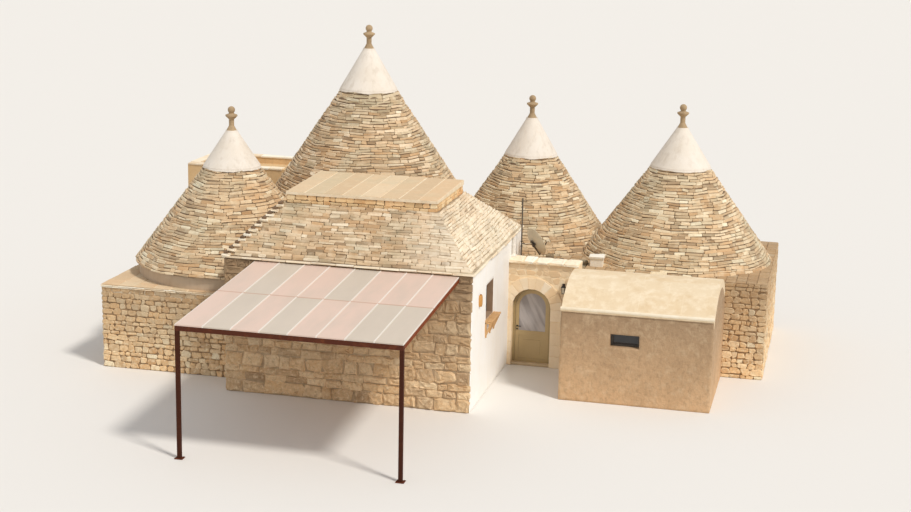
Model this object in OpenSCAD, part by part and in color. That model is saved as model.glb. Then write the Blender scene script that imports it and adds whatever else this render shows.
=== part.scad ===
// Trullo house: four stone cones on square rooms, a front block with a truncated
// pyramid roof, a vaulted annex, an entrance hall with an arched glass door and a
// steel pergola. Millimetres, Z up, ground at z = 0. The origin lies on the ground
// under the tip of the tallest cone, X runs right along the front, Y to the back.

/* [Front block] */
// Width of the front block along X
front_w = 6500; // [5500:50:7500]
// Depth of the front block along Y
front_d = 6100; // [5600:50:6600]
// Distance from the right face of the front block back to the tall cone's axis
front_right_x = 4600; // [4200:50:5000]
// Distance from the front face to the tall cone's axis
front_face_y = 6350; // [6000:50:6800]
// Height of the front block's eave
eave_z = 3560; // [3200:20:3900]
// Thickness of the front block's outer walls
front_wall_t = 800; // [600:20:900]
// Height of the pyramid's slope above the eave
hip_rise = 1270; // [1000:20:1500]
// How far the pyramid's front and side slopes draw in
hip_inset = 1200; // [1000:20:1400]
// How far the eave stones stand out from the walls
eave_lip = 40; // [20:5:60]
// Thickness of the eave stones
eave_t = 60; // [40:5:80]
// Height of the upright band above the pyramid
band_h = 300; // [200:10:400]
// How far the band stands back from the pyramid's top edge
band_set = 60; // [20:5:100]
// Thickness of the stone of the pyramid roof
roof_t = 520; // [400:20:600]
// Stone between the pyramid's hollow and the tall cone
roof_back_t = 200; // [150:10:300]
// Thickness of the roof slabs on the flat top
slab_t = 70; // [50:5:100]
// How far the roof slabs reach past the band
slab_lip = 40; // [20:5:60]
// Gap between the slabs' rear edge and the tall cone
slab_gap = 65; // [40:5:90]
// Rise of the slabs from front to back
slab_rise = 60; // [30:10:120]

/* [Tall cone] */
// Half of the outer width of the square room under the tall cone
core_half = 2850; // [2750:25:3000]
// Thickness of that room's walls
core_wall_t = 900; // [800:20:1000]
// Height of the tall cone's bare tip, without its pinnacle
core_tip_z = 8380; // [8000:20:8800]
// Height at which the cone's slope starts above its round collar
core_foot_z = 4090; // [3950:10:4300]
// Height of the lower edge of the white cap
core_cap_z = 7200; // [6900:20:7400]
// Radius of the vault at its springing
core_vault_r = 2300; // [2100:20:2400]

/* [Left trullo] */
// Left face of the left room
left_x0 = -5840; // [-6200:20:-5500]
// Front face of the left room
left_y0 = -5320; // [-5500:20:-5150]
// Cone axis of the left trullo, across
left_ax = -3150; // [-3250:10:-3050]
// Cone axis of the left trullo, in depth
left_ay = -2610; // [-2640:10:-2500]
// Height of the terrace round the left cone
left_eave_z = 2300; // [2150:10:2450]
// Thickness of the terrace slab
left_deck_t = 300; // [200:10:400]
// Thickness of the left room's walls
left_wall_t = 720; // [600:20:800]
// How far the plastered drum stands back from the left cone's foot
left_drum_set = 90; // [70:5:200]
// Height of the drum above the terrace
left_drum_h = 350; // [250:10:450]
// Radius of the left cone's foot
left_foot_r = 2670; // [2620:10:2690]
// Height of the left cone's bare tip
left_tip_z = 6240; // [6000:20:6500]
// Height of the lower edge of the left cap
left_cap_z = 5220; // [5000:20:5400]
// Depth of the left room behind the front block's rear face
left_back_d = 900; // [700:10:940]

/* [Rear store] */
// Thickness of the store's walls
store_wall_t = 420; // [350:10:450]
// Height of the store's walls
store_wall_z = 4150; // [4000:20:4300]
// Thickness of the store's flat roof
store_roof_t = 250; // [200:10:300]
// Height of the low parapet round the store's roof
store_rim_h = 200; // [150:10:250]
// Width of that parapet
store_rim_t = 250; // [200:10:300]

/* [Back trullo] */
// Depth of the back room
back_d = 5200; // [5000:20:5400]
// Cone axis of the back trullo, across
back_ax = 4290; // [4200:10:4400]
// Cone axis of the back trullo, in depth
back_ay = 2450; // [2350:10:2550]
// Radius of the back cone's foot
back_foot_r = 2450; // [2350:10:2500]
// Height of the back cone's bare tip
back_tip_z = 6300; // [6100:20:6500]
// Height of the lower edge of the back cap
back_cap_z = 5200; // [5000:20:5400]

/* [Right trullo] */
// Width of the right room
right_w = 5000; // [4900:10:5100]
// Front face of the right room
right_y0 = -1250; // [-1260:10:-1150]
// Depth of the right room
right_d = 5550; // [5400:10:5700]
// Cone axis of the right trullo, across
right_ax = 8800; // [8700:10:8900]
// Cone axis of the right trullo, in depth
right_ay = 1550; // [1450:10:1650]
// Radius of the right cone's foot
right_foot_r = 2700; // [2600:10:2750]
// Height of the right cone's bare tip
right_tip_z = 6380; // [6200:20:6600]
// Height of the lower edge of the right cap
right_cap_z = 5250; // [5100:20:5400]

/* [Side rooms] */
// Height of the back and right rooms' walls
side_eave_z = 2650; // [2550:10:2700]
// Thickness of the back and right rooms' walls
side_wall_t = 600; // [500:20:700]
// Height of the round springing course on top of those walls
ring_h = 250; // [200:10:350]
// Thickness of the stone of the three lower cones
cone_t = 700; // [600:20:800]
// Stone between each cone's hollow and the underside of its cap
crown_t = 200; // [150:10:300]
// Radius of the hollow's flat crown
crown_r = 120; // [80:10:160]
// Thickness of the stone floor
floor_t = 60; // [40:5:80]

/* [Passages] */
// Width of the plain passages between the rooms
pass_w = 820; // [700:10:850]
// Height of those passages
pass_h = 2000; // [1900:10:2100]
// Wall left between a passage and the nearest corner
pass_edge = 80; // [50:10:100]

/* [Entrance hall] */
// Distance from the hall's front face to the front block's rear face
hall_d = 1600; // [1500:20:1700]
// Width of the entrance wall
hall_w = 1950; // [1900:10:2000]
// Thickness of the entrance wall
entrance_t = 500; // [450:10:560]
// Height of the hall's roof deck
hall_roof_z = 2600; // [2500:10:2640]
// Thickness of the hall's roof deck
hall_roof_t = 150; // [120:10:200]
// Height of the entrance wall with its parapet
parapet_z = 2900; // [2820:10:3000]
// Thickness of the coping stones
coping_t = 60; // [40:5:80]
// How far the coping stands out
coping_lip = 40; // [20:5:60]

/* [Door] */
// Width of the arched doorway
door_w = 1080; // [1000:10:1150]
// Height of the doorway at the crown of its arch
door_h = 2200; // [2100:10:2250]
// Masonry left between the side wall and the doorway
door_x = 120; // [100:10:200]
// How far the frame stands back from the entrance wall's face
door_set = 150; // [100:10:180]
// Width of the frame's members
frame_w = 70; // [50:5:80]
// Depth of the frame's members
frame_t = 70; // [60:5:80]
// Thickness of the leaf
leaf_t = 45; // [40:1:55]
// Running gap round the leaf
leaf_gap = 6; // [5:0.5:8]
// How much higher than that gap the leaf starts over the floor
leaf_foot = 4; // [2:1:8]
// Width of the leaf's stiles and rails
stile_w = 95; // [80:5:110]
// Height of the leaf's closed lower part above the ground
kick_z = 830; // [700:10:950]
// Thickness of the leaf's recessed panel
panel_t = 22; // [18:1:28]
// Thickness of the door's glass
glass_t = 20; // [16:1:24]
// Height of the handles above the ground
handle_z = 1080; // [1000:10:1150]
// Length of the handles' levers
lever_l = 130; // [110:5:140]
// Thickness of the handles' levers
lever_t = 14; // [10:1:18]
// Radius of the handles' round roses
rose_r = 26; // [22:1:30]
// Thickness of those roses
rose_t = 8; // [6:1:10]
// How far the handles stand off the leaf
handle_reach = 50; // [45:1:60]
// Radius of the hinge knuckles
knuckle_r = 9; // [8:0.5:10]
// Height of each half of a hinge
knuckle_h = 45; // [35:1:60]
// Free play between the two halves of a hinge
hinge_play = 0.3; // [0.2:0.1:0.5]
// Width of the hinge plates
plate_w = 32; // [26:1:40]
// Distance from the leaf's lower and upper edge to the nearest hinge
hinge_end = 180; // [140:10:220]
// Height of the recess behind the arch that lets the leaf swing
recess_z = 2260; // [2240:10:2300]
// Width of the pale stones round the doorway
surround_w = 340; // [250:10:380]
// How far those stones stand out
surround_t = 30; // [20:5:40]

/* [Annex] */
// Width of the vaulted annex
annex_w = 3900; // [3700:20:4100]
// Depth of the annex in front of the right room
annex_d = 3300; // [3200:20:3400]
// Height of the annex's eave
annex_eave_z = 2440; // [2350:10:2520]
// Rise of the vault above the eave
annex_rise = 620; // [550:10:700]
// Thickness of the vault
annex_vault_t = 220; // [180:10:260]
// How far the vault's drip edge stands out over the front wall
vault_lip = 45; // [30:5:60]
// Height of that drip edge
vault_lip_h = 60; // [40:5:80]
// Thickness of the annex's walls
annex_wall_t = 500; // [450:10:550]
// Distance from the annex's left face to its window
annex_win_x = 1290; // [1200:10:1500]
// Width of the annex's window
annex_win_w = 750; // [650:10:850]
// Height of the annex's window
annex_win_h = 340; // [300:10:400]
// Height of that window's sill
annex_win_z = 1530; // [1450:10:1600]

/* [Side window] */
// Distance from the front face to the side window
side_win_y = 1650; // [1500:20:1900]
// Width of the side window
side_win_w = 850; // [800:10:1000]
// Height of the side window
side_win_h = 920; // [850:10:1050]
// Height of its sill
side_win_z = 2010; // [1900:10:2100]
// How far the glass stands back in both windows
win_set = 160; // [120:10:200]
// Width of the window frames' members
win_frame_w = 50; // [40:5:60]
// Depth of the window frames' members
win_frame_t = 55; // [45:5:65]
// Thickness of the panes
pane_t = 10; // [6:1:16]
// Width of the bar between the side window's two lights
mullion_w = 60; // [50:5:80]
// How far the ledge under the side window stands out
ledge_reach = 220; // [160:10:300]
// How far the ledge reaches past the window on both sides
ledge_side = 70; // [40:5:100]
// Thickness of the ledge's board
ledge_t = 40; // [30:2:50]
// Height of the brackets under the board
bracket_h = 420; // [300:10:500]
// Thickness of the brackets
bracket_t = 60; // [40:5:80]
// Number of brackets
bracket_n = 3; // [2:1:4]

/* [Pergola] */
// Distance from the front wall to the posts
perg_d = 5110; // [4800:20:5400]
// Right post, back from the front block's right face
perg_right = 360; // [300:10:450]
// Distance between the posts
perg_span = 5280; // [5000:20:5500]
// Height of the posts
perg_post_z = 3060; // [2950:10:3150]
// Side of the square posts
post_w = 90; // [80:5:110]
// Height of the frame's top at the wall
perg_back_z = 3500; // [3440:10:3520]
// Height of the frame's steel beams
beam_h = 120; // [100:5:140]
// Width of the frame's steel beams
beam_w = 80; // [60:5:100]
// Thickness of the roof panels
panel_roof_t = 30; // [25:1:40]
// Number of panel columns
panel_cols = 8; // [6:1:9]
// Width of the strips between the panels
panel_gap = 30; // [20:2:40]
// Thickness of those strips
strip_t = 12; // [8:1:16]
// Number of purlins between the front beam and the wall
purlin_n = 3; // [2:1:5]
// Width of the purlins
purlin_w = 50; // [40:5:60]
// Height of the purlins
purlin_h = 60; // [50:5:80]
// Play between the panels and the steel under them
panel_seat = 0.3; // [0.2:0.1:0.5]

/* [Fittings] */
// Diameter of the dish
dish_d = 800; // [700:10:900]
// Depth of the dish's bowl
dish_depth = 100; // [80:5:120]
// Thickness of the dish's sheet
dish_t = 12; // [8:1:16]
// Height of the dish's arm above the hall's roof
dish_z = 660; // [600:10:900]
// Length of the dish's arm
dish_arm = 360; // [230:5:450]
// Direction of the arm, turned to the right from straight ahead
arm_turn = 120; // [50:1:150]
// Direction of the dish, turned to the right from straight ahead
dish_turn = 134; // [15:1:150]
// How far the dish looks up
dish_lean = 24; // [15:1:35]
// Height of the dish's mast above the hall's roof
mast_h = 1950; // [1800:10:2100]
// Diameter of the mast
mast_d = 40; // [36:2:60]
// Distance of the mast from the side wall
mast_x = 170; // [150:5:450]
// Distance of the mast from the parapet
mast_y = 330; // [250:10:400]
// Radius of the mast's foot plate
foot_r = 90; // [70:5:110]
// Thickness of that plate
foot_t = 12; // [8:1:16]
// Width of the wall lamps
lamp_w = 180; // [140:5:200]
// Height of the wall lamps
lamp_h = 300; // [240:5:340]
// How far the wall lamps stand out
lamp_t = 120; // [100:5:140]
// Distance from the front face to the side wall's lamp
side_lamp_y = 760; // [700:10:1200]
// Height of the side wall's lamp
side_lamp_z = 2580; // [2300:10:2650]
// Thickness of the clay shade and of the lantern's plate
shade_t = 14; // [10:1:18]
// Distance from the annex to the entrance wall's lamp
door_lamp_x = 290; // [250:10:340]
// Height of the entrance wall's lamp
door_lamp_z = 2130; // [2080:10:2200]
// Width of the lantern's plate
lantern_plate_w = 70; // [50:5:90]
// Side of the lantern's arm
lantern_arm = 20; // [14:2:26]
// Radius of the lantern's lid, to its corners
lantern_r = 85; // [70:5:100]
// Radius of the lantern's foot, to its corners
lantern_foot_r = 50; // [40:5:60]
// Height of the lantern's glazed body
lantern_body_h = 180; // [150:5:200]
// Height of the lantern's lid
lantern_lid_h = 60; // [40:5:70]
// Radius of the rain pipe
pipe_r = 45; // [35:5:55]
// Gap between the rain pipe and the side wall
pipe_gap = 25; // [15:5:40]
// Distance from the entrance wall's face to the rain pipe
pipe_y = 260; // [200:10:320]
// Height of the block that the rain pipe stands in
pipe_foot_h = 110; // [80:10:150]
// How far that block reaches past the pipe
pipe_foot_lip = 25; // [15:5:30]
// Height of the pipe's clips
clip_h = 40; // [30:5:50]
// Distance from the pipe's ends to its clips
clip_end = 80; // [60:10:120]
// Width of the small vent on the right room's roof
vent_w = 340; // [280:10:400]
// Depth of the vent
vent_d = 300; // [250:10:350]
// Height of the vent under its cover
vent_h = 250; // [200:10:300]
// Distance from the right room's left face to the vent
vent_x = 100; // [80:10:150]
// Distance from the right room's front face to the vent
vent_y = 620; // [560:10:680]
// How far the vent's cover stands out
vent_lip = 40; // [20:5:50]
// Thickness of the vent's cover
vent_lid_t = 50; // [40:5:60]

/* [Caps and pinnacles] */
// How far the plaster caps stand out over the stones
cap_lip = 35; // [20:5:50]
// Height of the caps' rounded lip
cap_edge = 60; // [40:5:80]
// Radius of the caps' flat top
cap_top_r = 150; // [145:5:170]
// Height of each pinnacle
pin_h = 660; // [600:10:750]
// Radius of a pinnacle's foot
pin_foot_r = 140; // [120:5:145]
// Radius of its neck
pin_neck_r = 72; // [60:2:80]
// Height at which its foot ends and its neck starts
pin_neck_z = 130; // [100:5:160]
// Height at which its cup starts to flare
pin_cup_z = 300; // [270:5:320]
// Height of its cup
pin_cup_h = 90; // [70:5:110]
// Widest radius of its cup
pin_r = 165; // [150:5:190]
// Height of the cup's rim
pin_rim = 35; // [25:5:45]
// Radius of the ball on top
pin_ball_r = 100; // [90:5:110]

/* [Hidden] */
$fn = 192;
// Overcut that keeps cutting faces apart
e = 10;
// How deep joined pieces of one sub-part sink into each other
sink = 1;
// Reach of cuts that pass right through
far = 20000;
// Front block
fx1 = front_right_x;
fx0 = fx1 - front_w;
fy0 = -front_face_y;
fy1 = fy0 + front_d;
hip_z = eave_z + hip_rise;
top_z = hip_z + band_h;
band_in = hip_inset + band_set;
// Room under the tall cone
core_in = core_half - core_wall_t;
core_k = (core_tip_z - core_foot_z) / core_half;
core_cap_r = (core_tip_z - core_cap_z) / core_k;
// Rear edges of the flat top, just short of the tall cone
slab_y1 = -slab_gap - (core_tip_z - top_z + slab_t) / core_k;
band_y1 = slab_y1 - slab_lip;
hip_back_inset = fy1 - band_y1 - band_set;
// Left room and store
left_x1 = fx0;
left_ix0 = left_x0 + left_wall_t;
left_iy0 = left_y0 + left_wall_t;
left_y1 = fy1 + left_back_d;
left_iy1 = left_y1 - left_wall_t;
left_deck_z = left_eave_z - left_deck_t;
left_foot_z = left_eave_z + left_drum_h;
left_k = (left_tip_z - left_foot_z) / left_foot_r;
left_cap_r = (left_tip_z - left_cap_z) / left_k;
store_iy0 = left_y1 + store_wall_t;
store_iy1 = core_half - store_wall_t;
// Its right wall stands on the wall of the room under the tall cone
store_x1 = store_wall_t - core_half;
store_top_z = store_wall_z + store_roof_t;
// Entrance hall
hall_y0 = fy1 - hall_d;
hall_iy0 = hall_y0 + entrance_t;
hall_x1 = fx1 + hall_w;
// Back room
back_x0 = core_half;
back_wing_x0 = back_ax - back_foot_r;
back_x1 = hall_x1;
back_y1 = fy1 + back_d;
back_k = (back_tip_z - side_eave_z) / back_foot_r;
back_cap_r = (back_tip_z - back_cap_z) / back_k;
// Right room
right_x0 = back_x1;
right_x1 = right_x0 + right_w;
right_y1 = right_y0 + right_d;
right_k = (right_tip_z - side_eave_z) / right_foot_r;
right_cap_r = (right_tip_z - right_cap_z) / right_k;
// Annex
annex_x0 = hall_x1;
annex_x1 = annex_x0 + annex_w;
annex_y0 = right_y0 - annex_d;
annex_r = (pow(annex_d / 2, 2) + pow(annex_rise, 2)) / (2 * annex_rise);
annex_cz = annex_eave_z + annex_rise - annex_r;
annex_win_x0 = annex_x0 + annex_win_x;
// Doorway and door
door_x0 = fx1 + door_x;
door_x1 = door_x0 + door_w;
door_cx = (door_x0 + door_x1) / 2;
door_r = door_w / 2;
spring_z = door_h - door_r;
frame_y0 = hall_y0 + door_set;
frame_y1 = frame_y0 + frame_t;
leaf_y1 = frame_y1;
leaf_y0 = leaf_y1 - leaf_t;
leaf_r = door_r - frame_w - leaf_gap;
leaf_z0 = floor_t + leaf_gap + leaf_foot;
glass_r = leaf_r - stile_w;
hinge_x = door_cx + leaf_r + leaf_gap / 2;
hinge_y = leaf_y1 + knuckle_r;
hinge_zs = [leaf_z0 + hinge_end, (leaf_z0 + spring_z) / 2, spring_z - hinge_end];
// Side window
side_win_y0 = fy0 + side_win_y;
side_win_y1 = side_win_y0 + side_win_w;
// Pergola
perg_x1 = fx1 - perg_right;
perg_x0 = perg_x1 - perg_span;
perg_y0 = fy0 - perg_d;
perg_front_z = perg_post_z + beam_h;
perg_slope = (perg_back_z - perg_front_z) / perg_d;
perg_side = post_w / 2;

// Block between two corners
module block(x0, x1, y0, y1, z0, z1) {
    translate([x0, y0, z0]) cube([x1 - x0, y1 - y0, z1 - z0]);
}

// Four-sided frustum that draws in by one amount on three sides and by another at the back
module frustum(x0, x1, y0, y1, z0, z1, inset, back) {
    intersection() {
        translate([0, y1, 0]) rotate([90, 0, 0]) linear_extrude(y1 - y0)
            polygon([[x0, z0], [x1, z0], [x1 - inset, z1], [x0 + inset, z1]]);
        translate([x0, 0, 0]) rotate([90, 0, 90]) linear_extrude(x1 - x0)
            polygon([[y0, z0], [y1, z0], [y1 - back, z1], [y0 + inset, z1]]);
    }
}

// Upright cone frustum given by its foot, its bare tip and its cut height
module stone_cone(ax, ay, foot_z, foot_r, tip_z, cut_z) {
    translate([ax, ay, foot_z])
        cylinder(h = cut_z - foot_z, r1 = foot_r, r2 = foot_r * (tip_z - cut_z) / (tip_z - foot_z));
}

// Hollow of a cone: springs at the foot and closes under the cap
module cone_hollow(ax, ay, foot_z, in_r, cap_z) {
    translate([ax, ay, foot_z - e]) cylinder(h = cap_z - crown_t - foot_z + e, r1 = in_r, r2 = crown_r);
}

// Plastered cap, slightly proud of the stones below it, with a rounded lip
module plaster_cap(ax, ay, cap_z, cap_r, tip_z) {
    lip_r = cap_r + cap_lip;
    translate([ax, ay, 0]) rotate_extrude() polygon([[0, cap_z], [cap_r, cap_z],
        [lip_r, cap_z + cap_edge / 4], [lip_r - cap_edge / 6, cap_z + cap_edge],
        [cap_top_r, tip_z], [0, tip_z]]);
}

// Turned pinnacle: spreading foot, neck, flared cup and ball
module pinnacle(ax, ay, tip_z) {
    ball_z = pin_h - pin_ball_r;
    cup_top = pin_cup_z + pin_cup_h + pin_rim;
    translate([ax, ay, tip_z]) {
        rotate_extrude() polygon([[0, 0], [pin_foot_r, 0], [pin_neck_r, pin_neck_z], [pin_neck_r, pin_cup_z],
            [pin_r, pin_cup_z + pin_cup_h], [pin_r, cup_top], [pin_neck_r, cup_top + pin_rim],
            [pin_neck_r, ball_z], [0, ball_z]]);
        translate([0, 0, ball_z]) sphere(pin_ball_r);
    }
}

// Pyramid with its eave stones below and its upright band on top
module front_roof_mass() {
    block(fx0 - eave_lip, fx1 + eave_lip, fy0 - eave_lip, fy1, eave_z, eave_z + eave_t);
    frustum(fx0, fx1, fy0, fy1, eave_z, hip_z, hip_inset, hip_back_inset);
    block(fx0 + band_in, fx1 - band_in, fy0 + band_in, band_y1, hip_z - sink, top_z - slab_t);
}

// Bodies that the lower cones lean on
module front_mass() {
    block(fx0, fx1, fy0, fy1, 0, eave_z);
    front_roof_mass();
}

module core_mass() {
    block(-core_half, core_half, -core_half, core_half, 0, eave_z);
    core_cone_mass();
}

module core_cone_mass() {
    translate([0, 0, eave_z]) cylinder(h = core_foot_z - eave_z, r = core_half);
    stone_cone(0, 0, core_foot_z, core_half, core_tip_z, core_cap_z);
}

// Passages, each a plain cut through one wall or two
module passages(z1) {
    // Hall to the front room's alcove
    block(fx1 - front_wall_t - e, fx1 + e, fy1 - pass_edge - pass_w, fy1 - pass_edge, 0, z1);
    // Front room to the room under the tall cone
    block(-pass_w / 2, pass_w / 2, -core_half - e, -core_in + e, 0, z1);
    // Room under the tall cone to the left room
    block(-core_half - e, -core_in + e, pass_edge - core_in, pass_edge - core_in + pass_w, 0, z1);
    // Room under the tall cone to the store
    block(-core_half - e, -core_in + e, store_iy0, store_iy0 + pass_w, 0, z1);
    // Hall to the back room
    block(door_cx - pass_w / 2, door_cx + pass_w / 2, fy1 - e, fy1 + side_wall_t + e, 0, z1);
    // Back room to the right room
    block(back_x1 - side_wall_t - e, right_x0 + side_wall_t + e, right_ay - pass_w / 2,
        right_ay + pass_w / 2, 0, z1);
    // Right room to the annex
    block(right_ax - pass_w / 2, right_ax + pass_w / 2, right_y0 - e, right_y0 + side_wall_t + e, 0, z1);
}

// Room spaces in plan, from the ground to z1
module rooms(z1) {
    // Front room and its alcove beside the room under the tall cone
    block(fx0 + front_wall_t, fx1 - front_wall_t, fy0 + front_wall_t, -core_half, 0, z1);
    block(core_half, fx1 - front_wall_t, -core_half - e, fy1, 0, z1);
    // Room under the tall cone
    block(-core_in, core_in, -core_in, core_in, 0, z1);
    // Left room, beside the front block and beside the room under the tall cone
    block(left_ix0, left_x1, left_iy0, -core_half, 0, z1);
    block(left_ix0, -core_half, -core_half - e, left_iy1, 0, z1);
    // Store
    block(left_x0 + store_wall_t, -core_half, store_iy0, store_iy1, 0, z1);
    // Entrance hall
    block(fx1, right_x0, hall_iy0, fy1, 0, z1);
    // Back room and its corner behind the room under the tall cone
    block(back_x0 + side_wall_t, back_x1 - side_wall_t, fy1 + side_wall_t, back_y1 - side_wall_t, 0, z1);
    block(back_wing_x0 + side_wall_t, back_x0 + side_wall_t + e, core_half + side_wall_t,
        back_y1 - side_wall_t, 0, z1);
    // Right room
    block(right_x0 + side_wall_t, right_x1 - side_wall_t, right_y0 + side_wall_t,
        right_y1 - side_wall_t, 0, z1);
    // Annex
    block(annex_x0 + annex_wall_t, annex_x1 - annex_wall_t, annex_y0 + annex_wall_t, right_y0, 0, z1);
}

module floor_shape() {
    rooms(floor_t);
    passages(floor_t);
    block(door_x0, door_x1, hall_y0, hall_iy0 + e, 0, floor_t);
}

module floor() {
    color("tan") floor_shape();
}

module front_wall() {
    color("burlywood") block(fx0, fx1, fy0, fy0 + front_wall_t, 0, eave_z);
}

module front_left_wall() {
    color("burlywood") block(fx0, fx0 + front_wall_t, fy0 + front_wall_t, -core_half, 0, eave_z);
}

module front_right_wall() {
    color("ivory") difference() {
        block(fx1 - front_wall_t, fx1, fy0 + front_wall_t, fy1, 0, eave_z);
        passages(pass_h);
        block(fx1 - front_wall_t - e, fx1 + e, side_win_y0, side_win_y0 + side_win_w,
            side_win_z, side_win_z + side_win_h);
    }
}

// Pyramid roof and its upright band, hollow inside, cut back for the tall cone
module front_roof() {
    color("wheat") difference() {
        front_roof_mass();
        frustum(fx0 + front_wall_t, fx1 - front_wall_t, fy0 + front_wall_t, -core_half - roof_back_t,
            eave_z - e, top_z - roof_t, hip_inset, 0);
        core_mass();
    }
}

// Slabs on the flat top, rising gently to the tall cone
module roof_slabs() {
    y0 = fy0 + band_in - slab_lip;
    z0 = top_z - slab_t;
    color("linen") difference() {
        translate([fx0 + band_in - slab_lip, 0, 0]) rotate([90, 0, 90])
            linear_extrude(front_w - 2 * band_in + 2 * slab_lip)
            polygon([[y0, z0], [slab_y1, z0], [slab_y1, top_z + slab_rise], [y0, top_z]]);
        core_cone_mass();
    }
}

module core_walls() {
    color("tan") difference() {
        block(-core_half, core_half, -core_half, core_half, 0, eave_z);
        block(-core_in, core_in, -core_in, core_in, -e, eave_z + e);
        passages(pass_h);
    }
}

module main_cone() {
    color("wheat") difference() {
        core_cone_mass();
        cone_hollow(0, 0, eave_z, core_vault_r, core_cap_z);
    }
}

module main_cap() {
    color("white") plaster_cap(0, 0, core_cap_z, core_cap_r, core_tip_z);
}

module main_pinnacle() {
    color("khaki") pinnacle(0, 0, core_tip_z);
}

// Front, side and rear walls of the left room
module left_walls() {
    color("burlywood") difference() {
        block(left_x0, left_x1, left_y0, left_y1, 0, left_deck_z);
        rooms(left_deck_z + e);
        front_mass();
        core_mass();
    }
}

module left_terrace() {
    color("linen") difference() {
        block(left_x0, left_x1, left_y0, left_y1, left_deck_z, left_eave_z);
        translate([left_ax, left_ay, left_deck_z - e])
            cylinder(h = left_deck_t + 2 * e, r = left_foot_r - cone_t);
        front_mass();
        core_mass();
    }
}

module left_drum() {
    color("gainsboro") difference() {
        translate([left_ax, left_ay, left_eave_z])
            cylinder(h = left_drum_h, r = left_foot_r - left_drum_set);
        translate([left_ax, left_ay, left_eave_z - e])
            cylinder(h = left_drum_h + 2 * e, r = left_foot_r - cone_t);
        front_mass();
        core_mass();
    }
}

module left_cone() {
    color("wheat") difference() {
        stone_cone(left_ax, left_ay, left_foot_z, left_foot_r, left_tip_z, left_cap_z);
        intersection() {
            cone_hollow(left_ax, left_ay, left_foot_z, left_foot_r - cone_t, left_cap_z);
            block(-far, left_x1, -far, far, 0, far);
        }
        front_mass();
        core_mass();
    }
}

module left_cap() {
    color("white") plaster_cap(left_ax, left_ay, left_cap_z, left_cap_r, left_tip_z);
}

module left_pinnacle() {
    color("khaki") pinnacle(left_ax, left_ay, left_tip_z);
}

module store_walls() {
    color("tan") difference() {
        union() {
            block(left_x0, -core_half, left_y1, core_half, 0, store_wall_z);
            block(-core_half - e, store_x1, left_y1, core_half, eave_z, store_wall_z);
        }
        rooms(store_wall_z + e);
        core_cone_mass();
    }
}

// Flat roof with a low parapet
module store_roof() {
    color("linen") difference() {
        block(left_x0, store_x1, left_y1, core_half, store_wall_z, store_top_z + store_rim_h);
        block(left_x0 + store_rim_t, store_x1 - store_rim_t, left_y1 + store_rim_t, core_half - store_rim_t,
            store_top_z, store_top_z + store_rim_h + e);
        core_cone_mass();
    }
}

module entrance_left_pier() {
    color("burlywood") block(fx1, door_x0, hall_y0, hall_iy0, 0, parapet_z);
}

module entrance_right_pier() {
    color("burlywood") block(door_x1, hall_x1, hall_y0, hall_iy0, 0, parapet_z);
}

// Wall over the doorway, with a round arch and a square recess behind the frame
module entrance_arch() {
    color("burlywood") difference() {
        block(door_x0, door_x1, hall_y0, hall_iy0, spring_z, parapet_z);
        translate([door_cx, hall_y0 - e, spring_z]) rotate([-90, 0, 0])
            cylinder(h = entrance_t + 2 * e, r = door_r);
        block(door_x0 - e, door_x1 + e, frame_y1, hall_iy0 + e, spring_z - e, recess_z);
    }
}

module hall_roof() {
    color("linen") block(fx1, right_x0, hall_iy0, fy1, hall_roof_z - hall_roof_t, hall_roof_z);
}

module parapet_coping() {
    color("linen") block(fx1, hall_x1, hall_y0 - coping_lip, hall_iy0 + coping_lip,
        parapet_z, parapet_z + coping_t);
}

// Upright arch shape in the XZ plane, from y0 to y1
module arch(cx, half, z0, spring, y0, y1) {
    block(cx - half, cx + half, y0, y1, z0, spring);
    translate([cx, y0, spring]) rotate([-90, 0, 0]) cylinder(h = y1 - y0, r = half);
}

module door_surround() {
    y0 = hall_y0 - surround_t;
    color("linen") difference() {
        arch(door_cx, door_r + surround_w, 0, spring_z, y0, hall_y0);
        arch(door_cx, door_r, -e, spring_z, y0 - e, hall_y0 + e);
        block(-far, fx1, -far, far, -e, far);
    }
}

// Half of a hinge: a knuckle and a plate that lies on the frame or back on the leaf
module hinge_half(z, plate_x) {
    translate([hinge_x, hinge_y, z]) {
        cylinder(h = knuckle_h, r = knuckle_r);
        translate([plate_x, -knuckle_r - sink, 0]) cube([plate_w, knuckle_r / 2 + sink, knuckle_h]);
    }
}

module door_frame() {
    color("rosybrown") {
        difference() {
            arch(door_cx, door_r, floor_t, spring_z, frame_y0, frame_y1);
            arch(door_cx, door_r - frame_w, 0, spring_z, frame_y0 - e, frame_y1 + e);
        }
        for (z = hinge_zs) hinge_half(z, 0);
    }
}

// Leaf with stiles, rails, a recessed lower panel and an arched light
module door_leaf() {
    color("rosybrown") {
        difference() {
            arch(door_cx, leaf_r, leaf_z0, spring_z, leaf_y0, leaf_y1);
            arch(door_cx, glass_r, kick_z + stile_w, spring_z, leaf_y0 - e, leaf_y1 + e);
            for (y = [leaf_y0 - e, (leaf_y0 + leaf_y1 + panel_t) / 2])
                block(door_cx - glass_r, door_cx + glass_r, y, y + (leaf_t - panel_t) / 2 + e,
                    leaf_z0 + stile_w, kick_z);
        }
        for (z = hinge_zs) hinge_half(z + knuckle_h + hinge_play, -plate_w);
    }
}

module door_glass() {
    mid = (leaf_y0 + leaf_y1) / 2;
    color("lightsteelblue") arch(door_cx, glass_r, kick_z + stile_w, spring_z,
        mid - glass_t / 2, mid + glass_t / 2);
}

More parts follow.
